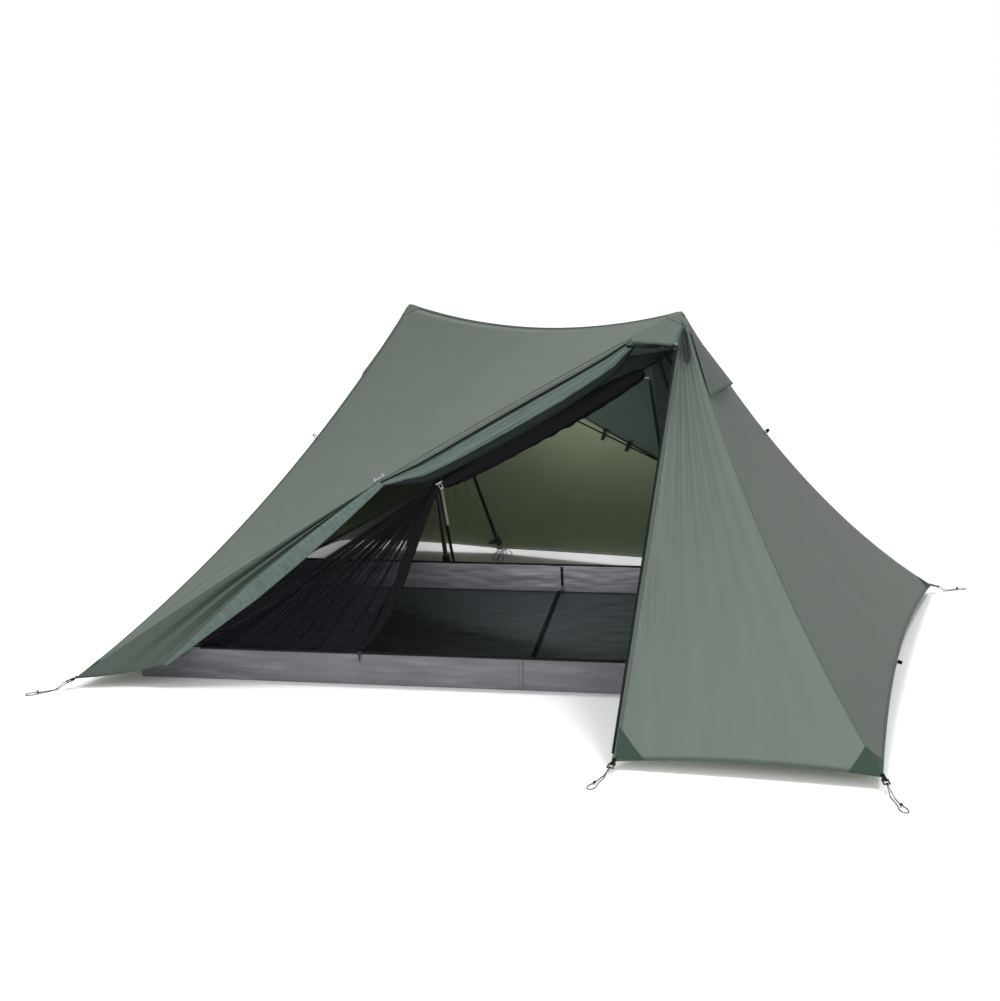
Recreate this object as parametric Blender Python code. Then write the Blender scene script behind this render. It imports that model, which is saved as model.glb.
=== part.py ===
"""Two-peak trekking pole tent, pitched with the front door rolled open.

Units are metres and +Z is up. The origin is on the ground at the tent's centre, +X runs along
the long front side and +Y from the front to the rear. The tent is the same after half a turn
about Z, apart from its doors: the front ones are open and the rear ones are closed.
"""
import math

import bmesh
import bpy
from mathutils import Matrix, Vector

# Fly
FLY_LENGTH = 2.550
FLY_WIDTH = 1.944
PEAK_HEIGHT = 1.170
PEAK_X = 0.511
PEAK_Y = -0.067
CORNER_LIFT = 0.030
DOOR_BASE_X = 0.559
DOOR_BASE_Y = -1.069
DOOR_BASE_LIFT = 0.020
FLY_THICKNESS = 0.0012
SEAM_GAP = 0.0004
FLY_ROWS = 10
MAIN_COLUMNS = 6
END_COLUMNS = 6
DOOR_COLUMNS = 6
GUSSET_COLUMNS = 4
VESTIBULE_COLUMNS = 20

# How far the fly's seams and hems bow from a straight line, at the middle of each
RIDGE_BOW = Vector((0, 0, -0.069))
MAIN_SEAM_BOW = Vector((-0.028, -0.029, -0.073))
END_SEAM_BOW = Vector((-0.036, 0.036, -0.062))
OPEN_CREASE_BOW = Vector((-0.040, 0.040, 0.020))
CLOSED_CREASE_BOW = Vector((0.000, -0.030, -0.070))
END_HEM_BOW = Vector((-0.036, 0, 0.053))
VESTIBULE_HEM_BOW = Vector((0, 0.010, 0.014))
DOOR_HEM_BOW = Vector((0, -0.012, 0.018))
FLAP_HEM_BOW = Vector((0, 0.010, -0.010))
HEM_FADE = 3

# Folds that fan down the vestibules and across the door's loose flap
FOLD_DEPTH = 0.007
FOLD_COUNT = 5
FLAP_FOLD_DEPTH = 0.006
FLAP_FOLD_COUNT = 2

# Peak caps, with the seat that takes a pole tip
CAP_REACH = 0.052
CAP_ROUND = 0.012
CAP_DROP = 0.004
CAP_GAP = 0.0007
CAP_THICKNESS = 0.0012
PEAK_CUT_RADIUS = 0.027
SEAT_RADIUS = 0.0062
SEAT_BORE_RADIUS = 0.0035
SEAT_DEPTH = 0.024
SEAT_CONE_SHARE = 0.4
SEAT_TIP_SHARE = 0.6

# Rolled fly door
GUSSET_SHARE = 0.090
ROLL_START_SHARE = 0.080
TOGGLE_SHARE = 0.486
ROLL_HEIGHT = 0.092
ROLL_WIDTH = 0.036
ROLL_END_SIZE = 0.022
PINCH_SIZE = 0.017
STRIP_WIDTH = 0.056
STRIP_THICKNESS = 0.018
STRIP_END_SIZE = 0.010
STRIP_FOOT_INSET = Vector((0.275, 0.107, 0.040))
STRIP_SWELL_START_SHARE = 0.02
STRIP_SWELL_SHARE = 0.95
STRIP_TURN_SHARE = 1 / 3
STRIP_TAPER_SHARE = 0.6
STRIP_OVERLAP = 0.003
ROLL_GAP = 0.0005
ROLL_RINGS = 12
ROLL_BULGE_POWER = 0.4
ROLL_HANG_SHARES = Vector((0.50, -0.10, -0.85))
ROLL_SECTION_POINTS = 12
ROLL_GROOVE_POINT = 4
ROLL_GROOVE_SHARE = 0.78
STRIP_RINGS = 9
FLAP_COLUMNS = 10
FLAP_START_SHARE = 0.530

# Inner tent
INNER_ANGLE = math.radians(11.5)
INNER_HALF_WIDTH = 0.569
INNER_HALF_LENGTH = 1.130
BATHTUB_HEIGHT = 0.110
INNER_APEX_DROP = 0.120
INNER_DOOR_BASE_X = 0.528
INNER_RIDGE_BOW = Vector((0, 0, -0.060))
INNER_END_BOW = Vector((-0.022, 0.004, -0.034))
INNER_SIDE_BOW = Vector((-0.020, -0.020, -0.040))
INNER_CREASE_BOW = Vector((0, 0.004, -0.006))
MESH_THICKNESS = 0.0010
FLOOR_THICKNESS = 0.0012
FLOOR_SEAM_WIDTH = 0.010
FLOOR_SEAM_HEIGHT = 0.0020
WALL_THICKNESS = 0.0014
INNER_ROWS = 6
INNER_CUT_RADIUS = 0.010
INNER_CAP_REACH = 0.030
CLIP_WALL = 0.0016
CLIP_MOUTH_SHARE = 0.60
CLIP_TOP = 0.0135
CLIP_BOTTOM = 0.0190
CLIP_GAP_SHARE = 1.5
STRAP_THICKNESS = 0.00144

# Inner door, unzipped from its right corner and rolled up to a toggle
INNER_SLIDER_X = -0.399
INNER_TOGGLE_SHARE = 0.445
INNER_ROLL_START_SHARE = 0.070
GATHER_OVERLAP = 0.035
GATHER_START_SHARE = 0.030
INNER_ROLL_HEIGHT = 0.048
INNER_ROLL_WIDTH = 0.032
INNER_ROLL_END_SIZE = 0.014
INNER_ROLL_RINGS = 10
INNER_ROLL_BULGE_POWER = 0.35
PLEAT_DEPTH = 0.010
PLEAT_COUNT = 6
PLEAT_COLUMNS = 24
PLEAT_SPREAD_POWER = 1.4

# Zips
ZIP_WIDTH = 0.008
ZIP_THICKNESS = 0.0022
ZIP_END_SHARE = 0.985
SLIDER_LENGTH = 0.014
SLIDER_WALL = 0.0016
SLIDER_GAP = 0.0006
PULL_LENGTH = 0.026
PULL_WIDTH = 0.006
PULL_THICKNESS = 0.0014
INNER_ZIP_HEIGHT = 0.008
INNER_ZIP_THICKNESS = 0.0018
INNER_ZIP_START_SHARE = 0.82
INNER_ZIP_FOOT_SHARE = 0.6
SLIDER_REST_SHARE = 1.5
SLIDER_HOOK_SHARE = 0.2

# Vents
VENT_TOP_SHARE = 0.050
VENT_EDGE_SHARE = 0.190
VENT_SIDE_MARGIN = 0.022
VENT_LIFT_ANGLE = math.radians(9.5)
VENT_CROWN = 0.010
VENT_THICKNESS = 0.0014
VENT_CLEARANCE = 0.0020
VENT_ROWS = 5
VENT_COLUMNS = 8
STRUT_WIDTH = 0.009
STRUT_THICKNESS = 0.0016
STRUT_GAP = 0.0010

# Reinforcements, tabs and cord locks
PATCH_REACH = 0.090
PATCH_SEAM_REACH = 0.100
PATCH_GAP = 0.0011
PATCH_THICKNESS = 0.0010
WEB_WIDTH = 0.012
WEB_THICKNESS = 0.0016
WEB_LENGTH = 0.024
BAND_HEIGHT = 0.0062
BAND_WALL = 0.0011
BAND_SHIFT = 0.0010
PATCH_TIP_SHARE = 0.005
PATCH_BESIDE_SHARE = 1.8
STRAP_SHIFT = 0.0068
LOCK_LENGTH = 0.020
LOCK_WIDTH = 0.020
LOCK_BAR = 0.0032
LOCK_THICKNESS = 0.0032
TOGGLE_LENGTH = 0.024
TOGGLE_RADIUS = 0.0026
TOGGLE_SPACING = 0.030
TOGGLE_DOME_SHARE = 0.8
TOGGLE_RISE_SHARE = 0.7
TOGGLE_SINK_SHARE = 0.7
LOOP_SIZE = 0.022
LOOP_HOLE_SHARE = 0.6
NEXT_SHARE = 0.01
FIT_GAP = 0.0004

# Cords
CORD_DIAMETER = 0.0025
CORD_LIFT = 0.0003

# Guyline hank
HANK_TOP = (0.050, 0.35)
HANK_END = (0.125, 0.52)
HANK_EXIT_SHARE = 0.80
HANK_WIDTH = 0.020
HANK_WAIST = 0.45
HANK_LIFT = 0.0007
HANK_LOOPS = 6
HANK_LOOP_POINTS = 24
HANK_CORD_DIAMETER = 0.0026
HANK_PITCH = 0.0034

# Poles
POLE_FOOT = Vector((0.585, -0.560, 0.0028))
TIP_DEPTH = 0.009
SHAFT_RADIUS = 0.0070
TUBE_RADIUS = 0.0090
TUBE_BORE_GAP = 0.0004
TUBE_WALL = 0.0012
TUBE_LENGTH = 0.620
GRIP_LENGTH = 0.135
GRIP_RADIUS = 0.0165
# The grip from its top to its heel: shares of its radius and of its length
GRIP_SHARES = ((0.79, 0.00), (1.00, 0.12), (0.79, 0.28), (0.85, 0.42), (0.79, 0.56), (0.87, 0.70),
               (1.15, 0.84), (1.15, 0.92), (0.75, 0.98))
SHAFT_OVERLAP = 0.150
TIP_LENGTH = 0.062
TIP_RADIUS = 0.0028
TIP_POINT_SHARE = 0.8
TIP_SLEEVE_RADIUS = 0.0085
BASKET_RADIUS = 0.020
BASKET_THICKNESS = 0.0030
BASKET_DEPTH = 0.080
CLAMP_LENGTH = 0.034
CLAMP_WALL = 0.0034
LEVER_LENGTH = 0.030
LEVER_WIDTH = 0.012
LEVER_THICKNESS = 0.0040
ROUND_SEGMENTS = 16

FLY_GREEN = (0.155, 0.190, 0.150, 1)
DOOR_GREEN = (0.200, 0.260, 0.220, 1)
TRIM_GREEN = (0.045, 0.070, 0.055, 1)
MESH_BLACK = (0.012, 0.012, 0.016, 1)
BATHTUB_GREY = (0.170, 0.172, 0.185, 1)
FLOOR_GREY = (0.030, 0.036, 0.034, 1)
CORD_BLACK = (0.010, 0.010, 0.012, 1)
TOGGLE_GREY = (0.420, 0.450, 0.470, 1)
METAL_GREY = (0.500, 0.510, 0.530, 1)


def half_turn(point):
    """The same place on the other half of the tent."""
    return Vector((-point.x, -point.y, point.z))


PEAK_RIGHT = Vector((PEAK_X, PEAK_Y, PEAK_HEIGHT))
PEAK_LEFT = half_turn(PEAK_RIGHT)
FRONT_LEFT = Vector((-FLY_LENGTH / 2, -FLY_WIDTH / 2, CORNER_LIFT))
FRONT_RIGHT = Vector((FLY_LENGTH / 2, -FLY_WIDTH / 2, CORNER_LIFT))
REAR_RIGHT = half_turn(FRONT_LEFT)
BASE_FRONT = Vector((DOOR_BASE_X, DOOR_BASE_Y, DOOR_BASE_LIFT))
BASE_REAR = half_turn(BASE_FRONT)
STRIP_FOOT = FRONT_LEFT + STRIP_FOOT_INSET
INSIDE = Vector((0, 0, PEAK_HEIGHT / 3))
UP = Vector((0, 0, 1))

ALONG_INNER = Vector((math.cos(INNER_ANGLE), math.sin(INNER_ANGLE), 0))
INNER_FRONT = Vector((math.sin(INNER_ANGLE), -math.cos(INNER_ANGLE), 0))
MESH_FOOT = BATHTUB_HEIGHT + MESH_THICKNESS + FIT_GAP


def inner_front_point(x, z):
    """A point on the inner tent's front side at a place along X."""
    y = (x * INNER_FRONT.x - INNER_HALF_WIDTH) / -INNER_FRONT.y
    return Vector((x, y, z))


INNER_PEAK_RIGHT = PEAK_RIGHT - UP * INNER_APEX_DROP
INNER_PEAK_LEFT = half_turn(INNER_PEAK_RIGHT)
INNER_FRONT_LEFT = inner_front_point(-INNER_HALF_LENGTH, MESH_FOOT)
INNER_FRONT_RIGHT = inner_front_point(INNER_HALF_LENGTH, MESH_FOOT)
INNER_REAR_RIGHT = half_turn(INNER_FRONT_LEFT)
INNER_REAR_LEFT = half_turn(INNER_FRONT_RIGHT)
INNER_BASE_FRONT = inner_front_point(INNER_DOOR_BASE_X, MESH_FOOT)
INNER_BASE_REAR = half_turn(INNER_BASE_FRONT)


def clear_scene():
    """Start from an empty scene."""
    for old in list(bpy.data.objects):
        bpy.data.objects.remove(old, do_unlink=True)


def material(name, colour, roughness, metallic=0.0):
    """A plain finish from the photographed colours."""
    made = bpy.data.materials.new(name)
    made.use_nodes = True
    shader = made.node_tree.nodes["Principled BSDF"]
    shader.inputs["Base Color"].default_value = colour
    shader.inputs["Roughness"].default_value = roughness
    shader.inputs["Metallic"].default_value = metallic
    return made


def make_object(name, points, faces, finish):
    """A closed mesh object whose faces point out."""
    mesh = bpy.data.meshes.new(name)
    mesh.from_pydata([tuple(point) for point in points], [], faces)
    shape = bmesh.new()
    shape.from_mesh(mesh)
    bmesh.ops.recalc_face_normals(shape, faces=shape.faces)
    shape.to_mesh(mesh)
    shape.free()
    made = bpy.data.objects.new(name, mesh)
    bpy.context.scene.collection.objects.link(made)
    made.data.materials.append(finish)
    return made


def copy_half_turn(source, name):
    """The same piece on the other half of the tent, sharing the mesh."""
    made = bpy.data.objects.new(name, source.data)
    made.matrix_world = Matrix.Rotation(math.pi, 4, "Z") @ source.matrix_world
    bpy.context.scene.collection.objects.link(made)
    return made


def hide_guide(guide):
    """Keep a cutter out of the model."""
    guide.hide_render = True
    guide.display_type = "WIRE"


def combine(target, tool, operation):
    """Cut or join with the exact solver."""
    change = target.modifiers.new(tool.name, "BOOLEAN")
    change.operation = operation
    change.object = tool
    change.solver = "EXACT"
    hide_guide(tool)


def bow_share(share):
    """A parabola that is 0 at both ends and 1 in the middle."""
    return 4 * share * (1 - share)


def faceted_curve(start, end, bow, steps=FLY_ROWS):
    """A bowed line from start to end, straight between its nodes."""
    def exact(share):
        return start.lerp(end, share) + bow * bow_share(share)

    def at(share):
        step = min(int(share * steps + 1e-9), steps - 1)
        return exact(step / steps).lerp(exact((step + 1) / steps), share * steps - step)
    return at


def outward_normal(first, second, third):
    """The normal of a facet, away from the middle of the tent."""
    normal = (second - first).cross(third - first).normalized()
    return normal if normal.dot(first - INSIDE) > 0 else -normal


def mitre(own, other):
    """The unit-thickness offset along the seam between two facets."""
    return (own + other) / (1 + own.dot(other))


def corner_drop(own, mitres):
    """The unit-thickness offset where two seams of a facet meet."""
    rows = [own] + [seam * (2 / seam.length_squared) - own for seam in mitres]
    return Matrix(rows).inverted() @ Vector((1, 1, 1))


def inward(start, end, inside):
    """The direction in a facet away from one of its edges."""
    along = (end - start).normalized()
    reach = inside - start
    return (reach - along * reach.dot(along)).normalized()


def even_shares(first, last, steps):
    """Nodes of a faceted curve between two shares, with both ends."""
    nodes = [first]
    nodes += [node / steps for node in range(1, steps + 1) if first < node / steps < last - 1e-6]
    return nodes + [last]


def sheet_solid(grid, offsets):
    """Points and faces of a thin closed solid below a grid of points."""
    rows, columns = len(grid), len(grid[0])
    top = [point for line in grid for point in line]
    bottom = [point - drop for line, drops in zip(grid, offsets) for point, drop in zip(line, drops)]
    count = len(top)
    faces = []
    for row in range(rows - 1):
        for column in range(columns - 1):
            a = row * columns + column
            b, c, d = a + 1, a + columns + 1, a + columns
            for one, two, three in ((a, b, c), (a, c, d)):
                faces.append((one, two, three))
                faces.append((three + count, two + count, one + count))
    rim = [column for column in range(columns)]
    rim += [row * columns + columns - 1 for row in range(1, rows)]
    rim += [(rows - 1) * columns + column for column in range(columns - 2, -1, -1)]
    rim += [row * columns for row in range(rows - 2, 0, -1)]
    for here, after in zip(rim, rim[1:] + rim[:1]):
        faces.append((after, here, here + count, after + count))
    return top + bottom, faces


def facet_grid(left, right, far, normal, seams, shares, columns,
               thickness=FLY_THICKNESS, gap=SEAM_GAP, relief=None):
    """Outer points of a three-cornered sheet, from the tip that left and right start from,
    and the way from each through the sheet.

    seams holds the mitre of each side that is sewn to a neighbour: left, right and far.
    """
    tip, left_end, right_end = left(0), left(1), right(1)
    insets = {
        "left": inward(tip, left_end, right_end),
        "right": inward(tip, right_end, left_end),
        "far": inward(left_end, right_end, tip),
    }
    grid, offsets = [], []
    for down in shares:
        line, drops = [], []
        for column in range(columns + 1):
            across = column / columns
            slack = far(across) - left_end.lerp(right_end, across)
            point = left(down).lerp(right(down), across) + slack * down ** HEM_FADE
            if relief:
                point = point + normal * relief(across, down)
            sides = [side for side, there in
                     (("left", column == 0), ("right", column == columns), ("far", down == 1))
                     if there and side in seams]
            for side in sides:
                point = point + insets[side] * (gap / 2)
            drop = seams[sides[0]] if sides else normal
            if len(sides) == 2:
                drop = corner_drop(normal, [seams[side] for side in sides])
            line.append(point)
            drops.append(drop * thickness)
        grid.append(line)
        offsets.append(drops)
    return grid, offsets


def panel(name, finish, *facet, **options):
    """A three-cornered sheet; what it takes is in facet_grid."""
    points, faces = sheet_solid(*facet_grid(*facet, **options))
    return make_object(name, points, faces, finish)


def sweep(name, finish, centres, wides, sizes, section):
    """A closed tube through centres, with its section turned and scaled at each."""
    points, faces = [], []
    count = len(section)
    for number, (centre, wide, size) in enumerate(zip(centres, wides, sizes)):
        before = centres[max(number - 1, 0)]
        after = centres[min(number + 1, len(centres) - 1)]
        along = (after - before).normalized()
        first = (wide - along * wide.dot(along)).normalized()
        second = along.cross(first)
        for one, two in section:
            points.append(centre + first * (one * size[0]) + second * (two * size[1]))
    for ring in range(len(centres) - 1):
        for corner in range(count):
            a = ring * count + corner
            b = ring * count + (corner + 1) % count
            faces.append((a, b, b + count))
            faces.append((a, b + count, a + count))
    faces.append(tuple(range(count)))
    faces.append(tuple(range((len(centres) - 1) * count, len(centres) * count)))
    return make_object(name, points, faces, finish)


def fuse(name, first, others):
    """One body from pieces that overlap."""
    bpy.context.view_layer.update()
    for other in others:
        combine(first, other, "UNION")
    remove_objects(bake(first))
    first.name = name
    return first


def block(name, finish, centre, axes, sizes):
    """A box on three axes."""
    points = []
    for one in (-1, 1):
        for two in (-1, 1):
            for three in (-1, 1):
                corner = axes[0] * (one * sizes[0] / 2) + axes[1] * (two * sizes[1] / 2)
                points.append(centre + corner + axes[2] * (three * sizes[2] / 2))
    faces = [(0, 1, 3, 2), (4, 6, 7, 5), (0, 4, 5, 1), (2, 3, 7, 6), (0, 2, 6, 4), (1, 5, 7, 3)]
    return make_object(name, points, faces, finish)


def turned(name, finish, profile, start, direction, segments=ROUND_SEGMENTS):
    """A profile of (radius, distance) turned about a line, closed at zero radius."""
    points, rings, faces = [], [], []
    side = direction.orthogonal().normalized()
    other = direction.cross(side)
    for radius, distance in profile:
        centre = start + direction * distance
        if radius == 0:
            rings.append([len(points)] * segments)
            points.append(centre)
            continue
        rings.append(list(range(len(points), len(points) + segments)))
        for step in range(segments):
            turn = 2 * math.pi * step / segments
            points.append(centre + (side * math.cos(turn) + other * math.sin(turn)) * radius)
    for one, two in zip(rings, rings[1:]):
        for step in range(segments):
            after = (step + 1) % segments
            corners = [one[step], one[after], two[after], two[step]]
            face = [corner for number, corner in enumerate(corners)
                    if corner not in corners[:number]]
            if len(face) > 2:
                faces.append(tuple(face))
    made = make_object(name, points, faces, finish)
    made.data.shade_smooth()
    made.data.set_sharp_from_angle(angle=math.radians(40))
    return made


def frame_matrix(origin, first, third):
    """A local frame: X along first, Z along third, both unit and square."""
    second = third.cross(first)
    turn = Matrix((first, second, third)).transposed().to_4x4()
    return Matrix.Translation(origin) @ turn


def bake(piece):
    """Replace a piece's mesh by what its modifiers make, and drop their tools."""
    depsgraph = bpy.context.evaluated_depsgraph_get()
    mesh = bpy.data.meshes.new_from_object(piece.evaluated_get(depsgraph))
    tools = [change.object for change in piece.modifiers if change.type == "BOOLEAN"]
    piece.modifiers.clear()
    piece.data = mesh
    return tools


def remove_objects(pieces):
    """Delete helper objects."""
    for piece in set(pieces):
        bpy.data.objects.remove(piece, do_unlink=True)


def ring_block(name, finish, centre, axes, outer, hole, thickness):
    """A flat rectangular ring, such as a webbing loop or a cord lock's frame."""
    points = []
    for level in (-thickness / 2, thickness / 2):
        for size in (outer, hole):
            for one, two in ((-1, -1), (1, -1), (1, 1), (-1, 1)):
                flat = axes[0] * (one * size[0] / 2) + axes[1] * (two * size[1] / 2)
                points.append(centre + flat + axes[2] * level)
    faces = []
    for side in range(4):
        after = (side + 1) % 4
        faces.append((side, after, after + 4, side + 4))
        faces.append((side + 8, side + 12, after + 12, after + 8))
        faces.append((side, side + 8, after + 8, after))
        faces.append((side + 4, after + 4, after + 12, side + 12))
    return make_object(name, points, faces, finish)


def reverse(line):
    """The same line walked from its other end."""
    return lambda share: line(1 - share)


def on_other_half(line):
    """The line after half a turn."""
    return lambda share: half_turn(line(share))


# Seam lines and facet normals of the fly
RIDGE = faceted_curve(PEAK_LEFT, PEAK_RIGHT, RIDGE_BOW, MAIN_COLUMNS)
MAIN_SEAM_RIGHT = faceted_curve(PEAK_RIGHT, REAR_RIGHT, MAIN_SEAM_BOW)
END_SEAM_RIGHT = faceted_curve(PEAK_RIGHT, FRONT_RIGHT, END_SEAM_BOW)
OPEN_CREASE = faceted_curve(PEAK_RIGHT, FRONT_LEFT, OPEN_CREASE_BOW)
CLOSED_CREASE = faceted_curve(PEAK_LEFT, REAR_RIGHT, CLOSED_CREASE_BOW)
ZIP_LINE_FRONT = faceted_curve(PEAK_RIGHT, BASE_FRONT, Vector())
ZIP_LINE_REAR = on_other_half(ZIP_LINE_FRONT)
ZIP_LINE_LENGTH = (PEAK_RIGHT - BASE_FRONT).length
MAIN_SEAM_LEFT = on_other_half(MAIN_SEAM_RIGHT)
END_SEAM_LEFT = on_other_half(END_SEAM_RIGHT)

MAIN_FRONT_NORMAL = outward_normal(FRONT_LEFT, PEAK_LEFT, PEAK_RIGHT)
MAIN_REAR_NORMAL = half_turn(MAIN_FRONT_NORMAL)
END_RIGHT_NORMAL = outward_normal(PEAK_RIGHT, FRONT_RIGHT, REAR_RIGHT)
END_LEFT_NORMAL = half_turn(END_RIGHT_NORMAL)
VESTIBULE_NORMAL = outward_normal(PEAK_RIGHT, BASE_FRONT, FRONT_RIGHT)
DOOR_NORMAL = outward_normal(PEAK_RIGHT, FRONT_LEFT, BASE_FRONT)
DOOR_REAR_NORMAL = half_turn(DOOR_NORMAL)

RIDGE_MITRE = mitre(MAIN_FRONT_NORMAL, MAIN_REAR_NORMAL)
CREASE_MITRE = mitre(MAIN_FRONT_NORMAL, DOOR_NORMAL)
CREASE_REAR_MITRE = half_turn(CREASE_MITRE)
ZIP_MITRE = mitre(VESTIBULE_NORMAL, DOOR_NORMAL)
ZIP_REAR_MITRE = half_turn(ZIP_MITRE)
END_MITRE = mitre(END_RIGHT_NORMAL, VESTIBULE_NORMAL)
MAIN_MITRE = mitre(END_RIGHT_NORMAL, MAIN_REAR_NORMAL)
MAIN_LEFT_MITRE = half_turn(MAIN_MITRE)

PANEL_START_SHARE = 0.010
CORNER_START_SHARE = 0.020
VESTIBULE_START_SHARE = 0.030
DOOR_END_SHARE = 0.997
PANEL_SHARES = even_shares(PANEL_START_SHARE, 1, FLY_ROWS)
DOOR_SHARES = even_shares(PANEL_START_SHARE, DOOR_END_SHARE, FLY_ROWS)
MAIN_SHARES = even_shares(CORNER_START_SHARE, 1, FLY_ROWS)
FOLD_START_SHARE = 1 / FLY_ROWS
FOLD_END_SHARE = 1 - 1 / FLY_ROWS


def peak_cutters():
    """A ball at each peak that rounds off the panels under the caps."""
    cutters = []
    for name, peak in (("peak_cut_right", PEAK_RIGHT), ("peak_cut_left", PEAK_LEFT)):
        ball = bmesh.new()
        bmesh.ops.create_icosphere(ball, subdivisions=2, radius=PEAK_CUT_RADIUS)
        mesh = bpy.data.meshes.new(name)
        ball.to_mesh(mesh)
        ball.free()
        cutter = bpy.data.objects.new(name, mesh)
        cutter.location = peak
        bpy.context.scene.collection.objects.link(cutter)
        cutters.append(cutter)
    bpy.context.view_layer.update()
    return cutters


def vestibule_fold(across, down):
    """Folds that fan from the peak, deepest half way down and flat near the hem."""
    walked = (down - FOLD_START_SHARE) / (FOLD_END_SHARE - FOLD_START_SHARE)
    if walked <= 0 or walked >= 1:
        return 0
    depth = bow_share(walked) * bow_share(across)
    return FOLD_DEPTH * depth * math.sin(2 * math.pi * FOLD_COUNT * across)


def build_fly(finish, door_finish):
    """The eight facets of the fly, with the front door rolled open."""
    cut_right, cut_left = peak_cutters()
    main_front = panel(
        "fly_main_panel_front", finish, reverse(MAIN_SEAM_LEFT), reverse(OPEN_CREASE), RIDGE,
        MAIN_FRONT_NORMAL, {"left": MAIN_LEFT_MITRE, "right": CREASE_MITRE, "far": RIDGE_MITRE},
        MAIN_SHARES, MAIN_COLUMNS)
    main_rear = panel(
        "fly_main_panel_rear", finish, reverse(MAIN_SEAM_RIGHT), reverse(CLOSED_CREASE),
        reverse(RIDGE), MAIN_REAR_NORMAL,
        {"left": MAIN_MITRE, "right": CREASE_REAR_MITRE, "far": RIDGE_MITRE},
        MAIN_SHARES, MAIN_COLUMNS)
    end_hem = faceted_curve(FRONT_RIGHT, REAR_RIGHT, END_HEM_BOW, END_COLUMNS)
    end_right = panel(
        "fly_end_panel_right", finish, END_SEAM_RIGHT, MAIN_SEAM_RIGHT, end_hem,
        END_RIGHT_NORMAL, {"left": END_MITRE, "right": MAIN_MITRE}, PANEL_SHARES, END_COLUMNS)
    vestibule_hem = faceted_curve(BASE_FRONT, FRONT_RIGHT, VESTIBULE_HEM_BOW, VESTIBULE_COLUMNS)
    vestibule = panel(
        "fly_vestibule_front", finish, ZIP_LINE_FRONT, END_SEAM_RIGHT, vestibule_hem,
        VESTIBULE_NORMAL, {"left": ZIP_MITRE, "right": END_MITRE},
        even_shares(VESTIBULE_START_SHARE, 1, FLY_ROWS), VESTIBULE_COLUMNS,
        relief=vestibule_fold)
    door_hem = faceted_curve(REAR_RIGHT, BASE_REAR, DOOR_HEM_BOW, DOOR_COLUMNS)
    door_rear = panel(
        "fly_door_rear", finish, CLOSED_CREASE, ZIP_LINE_REAR, door_hem, DOOR_REAR_NORMAL,
        {"left": CREASE_REAR_MITRE, "right": ZIP_REAR_MITRE}, DOOR_SHARES, DOOR_COLUMNS)
    gusset = panel(
        "door_gusset", door_finish, OPEN_CREASE, ZIP_LINE_FRONT,
        lambda across: FRONT_LEFT.lerp(BASE_FRONT, across), DOOR_NORMAL,
        {"left": CREASE_MITRE, "right": ZIP_MITRE}, [PANEL_START_SHARE, GUSSET_SHARE],
        GUSSET_COLUMNS)
    for piece in (main_front, main_rear, end_right, gusset):
        combine(piece, cut_right, "DIFFERENCE")
    for piece in (main_front, main_rear, door_rear):
        combine(piece, cut_left, "DIFFERENCE")
    tools = []
    for piece in (main_front, main_rear, end_right, door_rear, gusset):
        tools += bake(piece)
    remove_objects(tools)
    copy_half_turn(end_right, "fly_end_panel_left")
    copy_half_turn(vestibule, "fly_vestibule_rear")
    roll, strip_edge = door_roll(door_finish)
    flap = door_flap(door_finish, strip_edge)
    fuse("fly_door_front", roll, [gusset, flap])


def roll_section():
    """An oval with one groove where the rolled fabric ends."""
    section = []
    for point in range(ROLL_SECTION_POINTS):
        turn = 2 * math.pi * point / ROLL_SECTION_POINTS
        reach = 0.5 * (ROLL_GROOVE_SHARE if point == ROLL_GROOVE_POINT else 1)
        section.append((math.cos(turn) * reach, math.sin(turn) * reach))
    return section


def square_to(direction, along):
    """The part of a direction that is square to a path."""
    return (direction - along * direction.dot(along)).normalized()


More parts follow.
